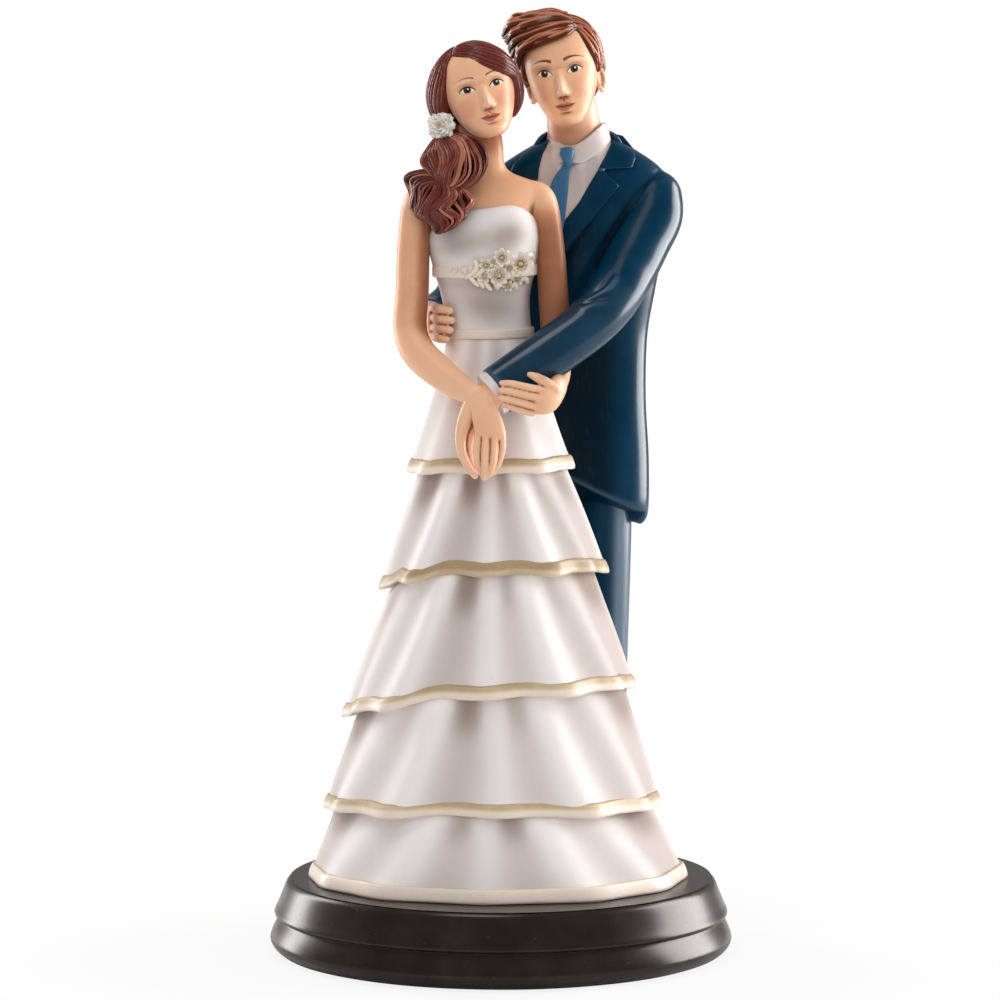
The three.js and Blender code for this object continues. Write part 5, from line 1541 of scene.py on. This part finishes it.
JACKET = (
    (-42, 16.6, 17, 13.1, 8.3, 9.4), (-39, 16.7, 17, 14.8, 8.7, 9.7), (-28, 16.8, 17, 15, 9, 9.9),
    (-15, 16.6, 16.6, 14.6, 8.4, 9.2), (-2, 16.9, 16, 14.7, 8, 8.6), (8, 17.1, 15.5, 16.1, 8.5, 8.7),
    (18, 16.9, 15, 18, 9.1, 8.7), (26, 16.6, 15, 19.6, 8.8, 8.4), (31, 16.7, 15, 19.6, 8.2, 7.6),
    (35, 16.8, 15, 17, 7.8, 6.6), (38.4, 16.9, 15, 12.2, 7.2, 6), (41, 16.9, 15, 7.4, 6.2, 5.6),
)
# The front hem rises towards the bride: its slope, where across the rise starts, and its most
CUTAWAY_SLOPE, CUTAWAY_START, CUTAWAY_MOST = 0.53, 35, 12
LEFT_SLEEVE = (
    (32.7, 14.6, 28.4, 6, 6), (32.6, 12.4, 24.6, 6.2, 6.1), (30, 9, 19.6, 6.2, 6.2),
    (27, 4.5, 13.8, 6.1, 6), (22.8, -1.2, 7.2, 5.8, 5.8), (17.6, -6, 2, 5.5, 5.4),
    (8.4, -11, -4.5, 5.4, 4.8), (-0.9, -14.3, -10.8, 5.3, 4.2),
)
RIGHT_SLEEVE = (
    (0.6, 15.6, 27.6, 5.8), (-0.6, 17.6, 22.6, 6), (-5, 21.5, 14, 5.6), (-9.5, 22.4, 6, 5.2),
    (-13.6, 17.6, 3.2, 4.6), (-15.2, 11.2, 3, 4),
)
# Lines of [x, y, height above the waist] that are carved into the jacket
ARMHOLE = (
    (34.8, 12, 33.9), (29.8, 8.6, 30.7), (27.4, 7.4, 28), (23.3, 6.4, 21.2), (20.6, 6.2, 16.4),
    (17.4, 6.6, 9),
)
ELBOW_RIDGES = (
    ((17.4, -7.4, 7.1), (22.1, -6.6, 9.8), (24.8, -4, 12.6)),
    ((16.2, -9, 5.8), (18.9, -8.4, 6.6), (22.1, -7.4, 7)),
)
ELBOW_CREASES = (
    ((17.2, -8, 8.6), (21, -6.4, 11), (23.6, -3.6, 14.4)),
    ((16.6, -8.6, 6.5), (20, -7.8, 7.8), (23.2, -6.2, 9.2)),
)
LAPEL_INNER = ((8.8, 16), (11, 20), (13.8, 24.4), (16.4, 27.6), (19.2, 32.4), (20.6, 34.7))
LAPEL_OUTER = ((9.4, 12.6), (12.8, 16.4), (17.4, 22), (20.8, 26), (25.1, 31.2), (21.8, 34.5))
FAR_LAPEL_INNER = ((8.2, 14), (7.9, 20), (7.8, 24), (7.8, 28), (7.8, 31), (7.6, 32.4))
FAR_LAPEL_OUTER = ((6, 12), (4.5, 17), (3, 21.4), (1.5, 25.6), (0.6, 29.6), (4, 32.4))
COLLAR_INNER = ((20.5, 34.75), (22.1, 37.5), (23.3, 40), (24.3, 42))
COLLAR_OUTER = ((27.8, 35.1), (28.6, 36.9), (28.2, 39), (26, 41.6))
FAR_COLLAR_INNER = ((7.8, 32.4), (8.1, 35), (8.8, 37.8), (10.4, 41))
FAR_COLLAR_OUTER = ((1.6, 33.4), (2.6, 35.6), (5.4, 38.4), (8.2, 40.8))
# The roll of the jacket's collar behind the neck, and its outward way
COLLAR = (
    (25.2, 12, 40.2), (24, 16.4, 40.6), (20.6, 19.6, 40.8), (16.6, 20.6, 40.8), (12.4, 19.6, 40.8),
    (9, 16.2, 40.4), (7.6, 12, 39.8),
)
COLLAR_OUT = (
    (1, 0, 0.6), (0.8, 0.5, 0.6), (0.4, 0.9, 0.6), (0, 1, 0.6), (-0.4, 0.9, 0.6), (-0.8, 0.5, 0.6),
    (-1, 0, 0.6),
)


def jacket_front(x, z):
    """The chest's depth at a place across and a height above the waist."""
    values = smooth_through(JACKET, np.linspace(0, 1, 200))
    cx, cy, half, front = (np.interp(z, values[:, 0], values[:, k]) for k in (1, 2, 3, 4))
    return cy - front * np.sqrt(np.clip(1 - ((x - cx) / half) ** 2, 0, 1))


def corners(stations, t):
    """Straight runs between stations, spaced evenly by station."""
    places = np.linspace(0, 1, len(stations))
    return np.stack([np.interp(t, places, column) for column in np.transpose(stations)], -1)


def plate(inner, outer, lift, thick, rows=60, across=24):
    """A thin slab over the chest between two edges of [x, height above the waist].

    Each cross-section is a flattened ring: its face runs from one edge to the other, and its back returns.
    """
    t = np.linspace(0, 1, rows)
    a, b = corners(inner, t)[:, None], corners(outer, t)[:, None]
    angle = turn(2 * across)
    share = (0.5 - 0.5 * np.cos(angle))[None, :, None]
    rise = np.sign(np.sin(angle)) * np.abs(np.sin(angle)) ** 0.35
    flat = a + (b - a) * share
    depth = jacket_front(flat[..., 0], flat[..., 1]) - lift - thick * rise
    return np.stack([flat[..., 0], depth, flat[..., 1] + WAIST], -1)


def carve(piece, line, width, depth, rows=60):
    """Presses a soft groove along a line that fades at its ends. A negative depth raises a ridge."""
    path = smooth_through(line, np.linspace(0, 1, rows)) + TO_WAIST
    points = points_of(piece.data)
    reach, fade = np.full(len(points), np.inf), np.zeros(len(points))
    for spot, strength in zip(path, np.sin(np.linspace(0.05, math.pi - 0.05, rows)) ** 0.7):
        away = ((points - spot) ** 2).sum(1)
        fade = np.where(away < reach, strength, fade)
        reach = np.minimum(reach, away)
    fade = depth * fade * np.exp(-reach / width**2)
    return move(piece, points - fade[:, None] * normals_of(piece.data))


def suit_paint(name, coat_roughness=0.19):
    """Navy paint: painted highlight on ridges, painted shade in creases, painted shadow, brush marks, and a
    gloss that dusk dulls.
    """
    paint = Paint(name, specular=0.04)
    paint.set("Coat Roughness", coat_roughness)
    paint.set("Coat Weight", 0.62 - 0.5 * paint.stored("dusk"))
    navy = colour("suit")
    depth, soot = paint.stored("hollow"), paint.stored("soot")
    cloud = paint.noise(7, 4)
    brush = paint.noise(0.8, 4, (1, 1, 0.2))
    tone = paint.mix(cloud.step(0.3, 0.75), toned(navy, 0.22), toned(navy, 0.02, "5f8fb5"))
    # Painted shade in creases
    tone = paint.mix(depth.step(0.02, 0.3), tone, toned(navy, 0.75))
    # Painted shadow where the shadow mark is set
    shadow_mask = (soot + (cloud - 0.5) * 0.3 * soot).step(0.05, 1)
    tone = paint.mix(shadow_mask, tone, toned(navy, 0.85, "020d17"))
    # Painted highlight on ridges
    tone = paint.mix((-depth).step(0.06, 0.3) * 0.45, tone, toned(navy, 0.4, "7d9db8"))
    tone = paint.mix(brush.step(0.55, 0.8) * 0.3, tone, toned(navy, 0.1, "4d7fa8"))
    rough = 0.22 + cloud * 0.1 + brush * 0.08
    return paint.finish(tone, rough, brush * 0.6 + cloud * 0.4, 0.07, 0.4)


def white_paint(name, shade_wash=0.0):
    """Matt white: grey-rose painted shade in its creases, a thinner one all over, and painted highlight on
    ridges.
    """
    # A share of painted shade over the whole white, for a part that lies in shade
    white = toned(colour("shirt"), shade_wash, "8f7a76")
    grey = toned(white, 0.75, "a89592")
    return painted(name, white, grey, toned(white, 0.5, (1, 1, 1)), 0.5)


class TOPPER_OT_suit(bpy.types.Operator):
    """Builds the jacket with its sleeves, lapels and collar"""

    bl_idname = "topper.suit"
    bl_label = "Jacket"

    def execute(self, context):
        """Ovals for the body and rings along lines for the sleeves, melted together and then creased."""
        body, angle = torso(JACKET, 150, 120)
        t = np.linspace(0, 1, 150)[:, None]
        ahead = ease(np.cos(angle), 0, 0.25)
        rise = np.clip(CUTAWAY_SLOPE * (CUTAWAY_START - body[..., 0]), 0, CUTAWAY_MOST)
        body[..., 2] += rise * ahead * np.clip(1 - t / 0.4, 0, 1)
        flare = 0.5 * bump(t, 0, 0.1) + 0.35 * bump(t, 0.42, 0.12) * np.sin(3 * angle)
        body[..., 0] += flare * np.sin(angle)
        body[..., 1] -= flare * np.cos(angle)

        def rumple(along, around):
            """Shallow rings that bunch inside the elbow and slant round the sleeve."""
            bend = bump(along, 0.52, 0.14)
            return 0.08 * bend * np.sin(46 * along + 2 * np.sin(around)) * (0.4 + 0.6 * np.cos(around))

        skin = Skin().grid(body)
        skin.grid(limb(LEFT_SLEEVE, 130, 64, (0, 0, 1), (True, False), rumple))
        skin.grid(limb(RIGHT_SLEEVE, 100, 56, (0, 0, 1), (True, False), rumple))
        piece = fused(skin.made("jacket_cloth"), 0.38, 6)
        carve(piece, ARMHOLE, 1.0, 0.45)
        for crease, ridge in zip(ELBOW_CREASES, ELBOW_RIDGES):
            carve(piece, crease, 0.9, 0.8)
            carve(piece, ridge, 0.9, -0.45)
        carve(piece, [(x + 0.4, jacket_front(x, z), z - 0.3) for x, z in LAPEL_OUTER[:-2]], 0.8, 0.4)
        mark_hollows(piece, 30)
        (x, y, z), normals = points_of(piece.data).T, normals_of(piece.data)
        ahead = ease(-normals[:, 1], 0.1, 0.6)
        upper = np.maximum(ease(y, -1, 3), ease(z, WAIST + 9, WAIST + 13))
        mark(piece.data, "dusk", ahead * ease(-normals[:, 0], -0.75, -0.5) * upper)
        # Painted shadow on the lower front beside the skirt, and painted shade on the chest between lapel
        # and sleeve
        shade = 0.9 * ease(x, 29, 20) * ease(z, WAIST + 8, WAIST - 6) * ease(z, WAIST - 50, WAIST - 34)
        chest = 0.6 * bump(x - 0.6 * (z - WAIST - 20), 16.5, 4.5) * bump(z, WAIST + 18, 9)
        mark(piece.data, "soot", (shade + chest) * ahead * (y > 3))
        paint = suit_paint("suit_paint")
        dressed(piece, paint, "jacket", "jacket", "left_sleeve", "right_sleeve")
        for name, nodes, inner, outer in (
            ("left_lapel_cloth", ["left_lapel"], LAPEL_INNER, LAPEL_OUTER),
            ("right_lapel_cloth", ["right_lapel"], FAR_LAPEL_INNER, FAR_LAPEL_OUTER),
            ("left_collar_cloth", [], COLLAR_INNER, COLLAR_OUTER),
            ("right_collar_cloth", [], FAR_COLLAR_INNER, FAR_COLLAR_OUTER),
        ):
            flap = Skin().grid(plate(inner, outer, 0.6, 0.75)).made(name)
            mark(flap.data, "dusk", ease(-normals_of(flap.data)[:, 1], 0.1, 0.6))
            dressed(mark_hollows(flap, 12), paint, "jacket", *nodes)
        t = np.linspace(0, 1, 120)
        path = smooth_through(COLLAR, t) + TO_WAIST
        out = unit(smooth_through(COLLAR_OUT, t))
        ends = np.sqrt(np.clip(1 - np.abs(2 * t - 1) ** 30, 0.02, 1))
        collar = Skin().grid(strip(path, out, 2.4 * ends, 0.7 * ends, 40)).made("jacket_collar")
        dressed(mark_hollows(collar, 12), paint, "jacket")
        return {"FINISHED"}


SHIRT_LEFT = ((8.8, 13), (8.6, 19), (8.2, 25), (7.3, 31), (7.2, 36), (9.8, 40.6))
SHIRT_RIGHT = ((9.4, 13), (12.2, 19), (15.9, 25), (19.8, 31), (22.8, 36), (24, 40.6))
TIE_BLADE = (
    (14.1, 6, 36, 0.7, 0.6), (13.5, 5.7, 34.4, 1.1, 0.6), (12.6, 5.7, 32, 1.75, 0.6),
    (11.9, 5.5, 28.4, 2.1, 0.6), (10.9, 5, 22, 2.3, 0.6), (9.9, 5, 15, 1.9, 0.5),
)
TIE_KNOT = (
    (13.8, 6.2, 39, 1.5, 0.7), (13.9, 5.6, 38.3, 1.6, 0.95), (14.1, 5.3, 36.9, 1.2, 0.95),
    (14.1, 5.6, 35.2, 0.75, 0.6),
)
COLLAR_TURN = math.radians(20)
# The shirt collar's section as [reach out, rise], from the inner rim over the outer slope and back inside
COLLAR_SECTION = (
    (0, -0.4), (0.1, 0), (0.35, 0.02), (0.6, -0.4), (1.2, -2.2), (2, -4.4), (2.9, -7), (2.2, -7.6),
    (0.8, -5), (0, -2), (0, -0.4),
)
CUFF_SHOWN = 1.7


def cuff_line(sleeve):
    """Stations that carry on from a sleeve's end as far as the cuff shows."""
    end, before = np.array(sleeve[-1], float), np.array(sleeve[-2], float)
    way = unit(end[:3] - before[:3])
    wide, thick = end[3], end[-1]
    return [(*(end[:3] + way * s), wide - 0.45, thick - 0.45) for s in np.linspace(-1.5, CUFF_SHOWN, 5)]


class TOPPER_OT_shirt(bpy.types.Operator):
    """Builds the shirt front, its collar, the cuffs and the tie"""

    bl_idname = "topper.shirt"
    bl_label = "Shirt and tie"

    def execute(self, context):
        """A slab over the chest with soft creases, a collar, and rings along lines for cuffs and tie."""
        # The shirt front takes the white with painted shade over all of it
        white, grey = white_paint("shirt_paint"), white_paint("shirt_front_paint", 0.3)
        front = plate(SHIRT_LEFT, SHIRT_RIGHT, 0.25, 0.55, 80, 40)
        x, z = front[..., 0], front[..., 2] - WAIST
        tucked = ease(z - 0.6 * np.clip(x - 15, 0, 7), 34.5, 37) * ease(x, 11, 13.5)
        front[..., 1] += 0.1 * np.sin(1.5 * x + 0.12 * z) * ease(z, 14, 24) + 0.9 * tucked
        piece = mark_hollows(Skin().grid(front).made("shirt_cloth"), 16)
        dressed(piece, grey, "shirt", "shirt_front")
        self.collar(white)

        def ripple(along, around):
            """Five shallow waves round the cuff that grow towards its edge."""
            return 0.16 * np.sin(5 * around + 1) * ease(along, 0.3, 1)

        for node, sleeve in (("left_cuff", LEFT_SLEEVE), ("right_cuff", RIGHT_SLEEVE)):
            rings = limb(cuff_line(sleeve), 30, 48, (0, 0, 1), (False, False), ripple)
            cuff = mark_hollows(Skin().grid(rings).made(f"{node}_cloth"), 16)
            dressed(cuff, white, "shirt", node)
        blue = colour("tie")
        tie = Skin().grid(limb(TIE_BLADE, 60, 40)).grid(limb(TIE_KNOT, 40, 40, domes=(False, True)))
        # Painted shade in the hollows and a painted sheen on the ridges
        silk = painted("tie_paint", blue, toned(blue, 0.7), toned(blue, 0.4, "8fb8da"), 0.38)
        dressed(mark_hollows(tie.made("tie_silk"), 20), silk, "tie", "tie")
        return {"FINISHED"}

    def collar(self, paint):
        """A looped section carried round the neck, lowest at the knot and high at the sides and back."""
        angle = turn(160)
        away = np.abs((angle + COLLAR_TURN + math.pi) % TAU - math.pi)
        top = 39.7 + 4.6 * np.sin(np.minimum(away * 0.97, 0.5 * math.pi)) ** 2
        loop = smooth_through(COLLAR_SECTION, np.linspace(0, 1, 51)[:-1])
        slack = 0.22 + 0.45 * np.sin(angle) ** 2
        reach = loop[None, :, 0] * slack[:, None]
        x, y = oval(16.4, 13.2, 5.8 + reach, 6.5 + reach, 5.4 + reach, angle[:, None])
        drop = (top - 36.4 - 2.6 * ease(np.sin(angle), 0, 0.9)) / 7
        rings = np.stack([x, y, WAIST + top[:, None] + drop[:, None] * loop[None, :, 1]], -1)
        piece = Skin().grid(rings, looped=True).made("shirt_collar_cloth")
        dressed(mark_hollows(piece, 16), paint, "shirt", "shirt_collar")


# Where each leg stands across, and the side that it leans to
LEG_PLACES = ((10.9, -1), (22.1, 1))


class TOPPER_OT_legs(bpy.types.Operator):
    """Builds the trouser legs and shoes"""

    bl_idname = "topper.legs"
    bl_label = "Trousers and shoes"

    def execute(self, context):
        """Rings along lines: legs with a pressed edge and a break above the shoe, and domed shoes."""
        suit = suit_paint("trouser_paint", 0.24)
        black = colour("shoe")
        # Painted shade in the hollows and a painted highlight on the ridges
        polish = painted("shoe_paint", black, toned(black, 0.6), toned(black, 0.25, (1, 1, 1)), 0.4, 0.12)
        base = PLINTH_TOP - WAIST

        def press(along, around):
            """A ridge down the front and the back, and a fold and a dent above the shoe."""
            edge = bump(np.abs(np.sin(around)), 1, 0.12) * 0.5
            return edge + 0.25 * bump(along, 0.06, 0.05) - 0.2 * bump(along, 0.13, 0.04)

        for (x, side), word in zip(LEG_PLACES, ("right", "left")):
            stations = [
                (x, 21.6, base + 3, 5.4), (x, 21.5, base + 12, 5.3), (x, 21.2, base + 38, 5.2),
                (x + 0.2 * side, 19.2, base + 76, 5.9), (x + 0.4 * side, 16.6, base + 112, 5.4),
            ]
            leg = Skin().grid(limb(stations, 110, 72, (1, 0, 0), (False, False), press))
            piece = leg.made(f"{word}_trouser_cloth")
            outward = normals_of(piece.data)[:, 0]
            # Painted highlight: paler on the side that faces right
            mark(piece.data, "hollow", -0.27 * ease(outward, 0, 0.7))
            mark(piece.data, "dusk", 1 - 1.7 * ease(outward, 0, 0.5))
            dressed(piece, suit, "trousers", f"{word}_trouser_leg")
            self.shoe(x, side, word, polish)
        return {"FINISHED"}

    def shoe(self, x, side, word, paint):
        """A flattened ring from heel to toe whose underside is pressed flat on the plinth."""
        stations = [
            (x, 27.6, 3.2, 3, 2.6), (x, 25, 3.4, 3.9, 3.2), (x + 0.2 * side, 20, 3.2, 4.1, 3.1),
            (x + 0.7 * side, 15, 2.4, 4.3, 2.3), (x + 1.1 * side, 12.4, 2.1, 3.7, 1.9),
        ]
        rings = limb([(a, b, c - WAIST + PLINTH_TOP, w, t) for a, b, c, w, t in stations], 60, 48)
        rings[..., 2] = np.maximum(rings[..., 2], PLINTH_TOP + 0.1)
        low = rings[..., 2] < PLINTH_TOP + 1.1
        rings[..., 0] += np.where(low, 0.12 * np.sign(rings[..., 0] - x), 0)
        piece = mark_hollows(Skin().grid(rings).made(f"{word}_shoe_leather"), 12)
        dressed(piece, paint, "shoe", f"{word}_shoe")


# Stage

# Place, aim, size across and size up in metres, and power in watts
# A fill gives no highlights, and the right box gives nothing else
LAMPS = {
    "left_box": ((-0.5, 0.38, 0.22), (0, 0, 0.1), 0.2, 0.56, 3.0),
    "right_box": ((0.57, 0.2, 0.22), (0, 0, 0.1), 0.4, 0.56, 7.4),
    "right_fill": ((0.59, 0.1, 0.22), (0, 0, 0.1), 0.42, 0.56, 3.6),
    "front_fill": ((-0.1, -1.0, 0.7), (0, 0, 0.09), 0.9, 0.7, 3.2),
    "top_box": ((-0.16, -0.27, 1.0), (0, 0, 0.11), 0.38, 0.38, 1.9),
}
LAMP_COLOUR = (1, 0.985, 0.97)
SURROUND_COLOUR, SURROUND_STRENGTH = (1, 0.985, 0.975, 1), 0.33
# Place and aim in metres
CAMERA_PLACE, CAMERA_AIM = (-0.0002, -1.095, 0.205), (-0.0002, 0, 0.0965)
SENSOR_WIDTH, LENS_LENGTH = 36, 186.97


def aimed(name, data, place, aim):
    """An object with a lamp or a camera that looks from a place at an aim."""
    holder = bpy.data.objects.new(name, data)
    holder.location = place
    holder.rotation_euler = (Vector(aim) - Vector(place)).to_track_quat("-Z", "Y").to_euler()
    bpy.context.scene.collection.objects.link(holder)
    return holder


class TOPPER_OT_stage(bpy.types.Operator):
    """Sets up the floor, the background, the lights and the camera"""

    bl_idname = "topper.stage"
    bl_label = "Stage"

    def execute(self, context):
        """A white studio: a floor, light from all round, box lamps and a long lens."""
        self.floor()
        self.background()
        for name, (place, aim, across, high, power) in LAMPS.items():
            lamp = self.lamp(name, place, aim, across, high, power)
            lamp.visible_glossy = not name.endswith("fill")
            lamp.visible_diffuse = name != "right_box"
        self.camera()
        return {"FINISHED"}

    def floor(self):
        """A wide flat disc that turns white away from the object and keeps its shadow near it."""
        angle = turn(96)
        radius = np.array([0.0, 300, 3000, 3000, 300, 0])[:, None]
        depth = np.array([0, 0, 0, -5, -5, -5.0])[:, None] + 0 * angle
        rings = np.stack([radius * np.sin(angle), -radius * np.cos(angle), depth], -1)
        floor = Skin().grid(rings[1:-1]).made("floor")
        paint = Paint("floor_paint").set("Roughness", 0.9)
        tone = colour("backdrop")
        dust = paint.noise(40, 3)
        paint.set("Base Color", paint.mix(dust * 0.06, toned(tone, 0.12), toned(tone, 0.2)))
        seen = paint.node("ShaderNodeLightPath", output="Is Camera Ray")
        place = {0: paint.place()}
        reach = paint.node("ShaderNodeVectorMath", {"operation": "LENGTH"}, place, output="Value")
        glow = paint.node("ShaderNodeEmission", inputs={"Color": tone, "Strength": 1.0})
        share = seen * (0.86 + 0.14 * reach.step(0.06, 0.13))
        body = Term(paint, paint.shader.outputs[0])
        mixed = paint.node("ShaderNodeMixShader", inputs={0: share, 1: body, 2: glow})
        paint.feed(paint.tree.nodes["Material Output"].inputs["Surface"], mixed)
        floor.data.materials.append(paint.material)

    def background(self):
        """A white backdrop to the camera, and a dimmer, warmer light from all round on the object."""
        world = bpy.data.worlds.new("surround")
        bpy.context.scene.world = world
        world.use_nodes = True
        tree = world.node_tree
        tree.nodes.clear()
        path = tree.nodes.new("ShaderNodeLightPath")
        fill, white = tree.nodes.new("ShaderNodeBackground"), tree.nodes.new("ShaderNodeBackground")
        fill.inputs["Color"].default_value = SURROUND_COLOUR
        fill.inputs["Strength"].default_value = SURROUND_STRENGTH
        white.inputs["Color"].default_value = (*colour("backdrop"), 1)
        white.inputs["Strength"].default_value = 1
        mix, out = tree.nodes.new("ShaderNodeMixShader"), tree.nodes.new("ShaderNodeOutputWorld")
        tree.links.new(path.outputs["Is Camera Ray"], mix.inputs[0])
        tree.links.new(fill.outputs[0], mix.inputs[1])
        tree.links.new(white.outputs[0], mix.inputs[2])
        tree.links.new(mix.outputs[0], out.inputs[0])

    def lamp(self, name, place, aim, across, high, power):
        """A box lamp: a rectangle that shines towards its aim."""
        lamp = bpy.data.lights.new(name, "AREA")
        lamp.shape = "RECTANGLE"
        lamp.size, lamp.size_y = across, high
        lamp.energy = power
        lamp.color = LAMP_COLOUR
        return aimed(name, lamp, place, aim)

    def camera(self):
        """A long lens from a little above, as in the photograph."""
        lens = bpy.data.cameras.new("camera")
        lens.sensor_width, lens.lens = SENSOR_WIDTH, LENS_LENGTH
        lens.clip_start, lens.clip_end = 0.1, 20
        bpy.context.scene.camera = aimed("camera", lens, CAMERA_PLACE, CAMERA_AIM)
        bpy.context.scene.view_settings.view_transform = "Standard"


# Add-on

OPERATORS = (
    TOPPER_OT_plinth, TOPPER_OT_skirt, TOPPER_OT_bodice, TOPPER_OT_bride_skin, TOPPER_OT_groom_hands,
    TOPPER_OT_heads, TOPPER_OT_bride_hair, TOPPER_OT_groom_hair, TOPPER_OT_flowers, TOPPER_OT_suit,
    TOPPER_OT_shirt, TOPPER_OT_legs, TOPPER_OT_stage,
)


class TOPPER_PT_panel(bpy.types.Panel):
    """Lists the pieces and their settings"""

    bl_idname = "TOPPER_PT_panel"
    bl_label = "Wedding cake topper"
    bl_space_type = "VIEW_3D"
    bl_region_type = "UI"
    bl_category = "Topper"

    def draw(self, context):
        """One button for each operator, then every size and colour."""
        for operator in OPERATORS:
            self.layout.operator(operator.bl_idname)
        for group in (context.scene.topper_sizes, context.scene.topper_colours):
            for name in group.bl_rna.properties.keys():
                if name not in ("name", "rna_type"):
                    self.layout.prop(group, name)


CLASSES = (TopperColours, TopperSizes, *OPERATORS, TOPPER_PT_panel)


def register():
    """Adds the classes and the scene's settings to Blender."""
    for item in CLASSES:
        bpy.utils.register_class(item)
    bpy.types.Scene.topper_colours = bpy.props.PointerProperty(type=TopperColours)
    bpy.types.Scene.topper_sizes = bpy.props.PointerProperty(type=TopperSizes)


def unregister():
    """Takes the settings and the classes out again."""
    del bpy.types.Scene.topper_sizes
    del bpy.types.Scene.topper_colours
    for item in reversed(CLASSES):
        bpy.utils.unregister_class(item)


def main():
    """Builds every piece and the stage."""
    register()
    for operator in OPERATORS:
        group, name = operator.bl_idname.split(".")
        getattr(getattr(bpy.ops, group), name)()
    bpy.context.view_layer.update()


if __name__ == "__main__":
    main()
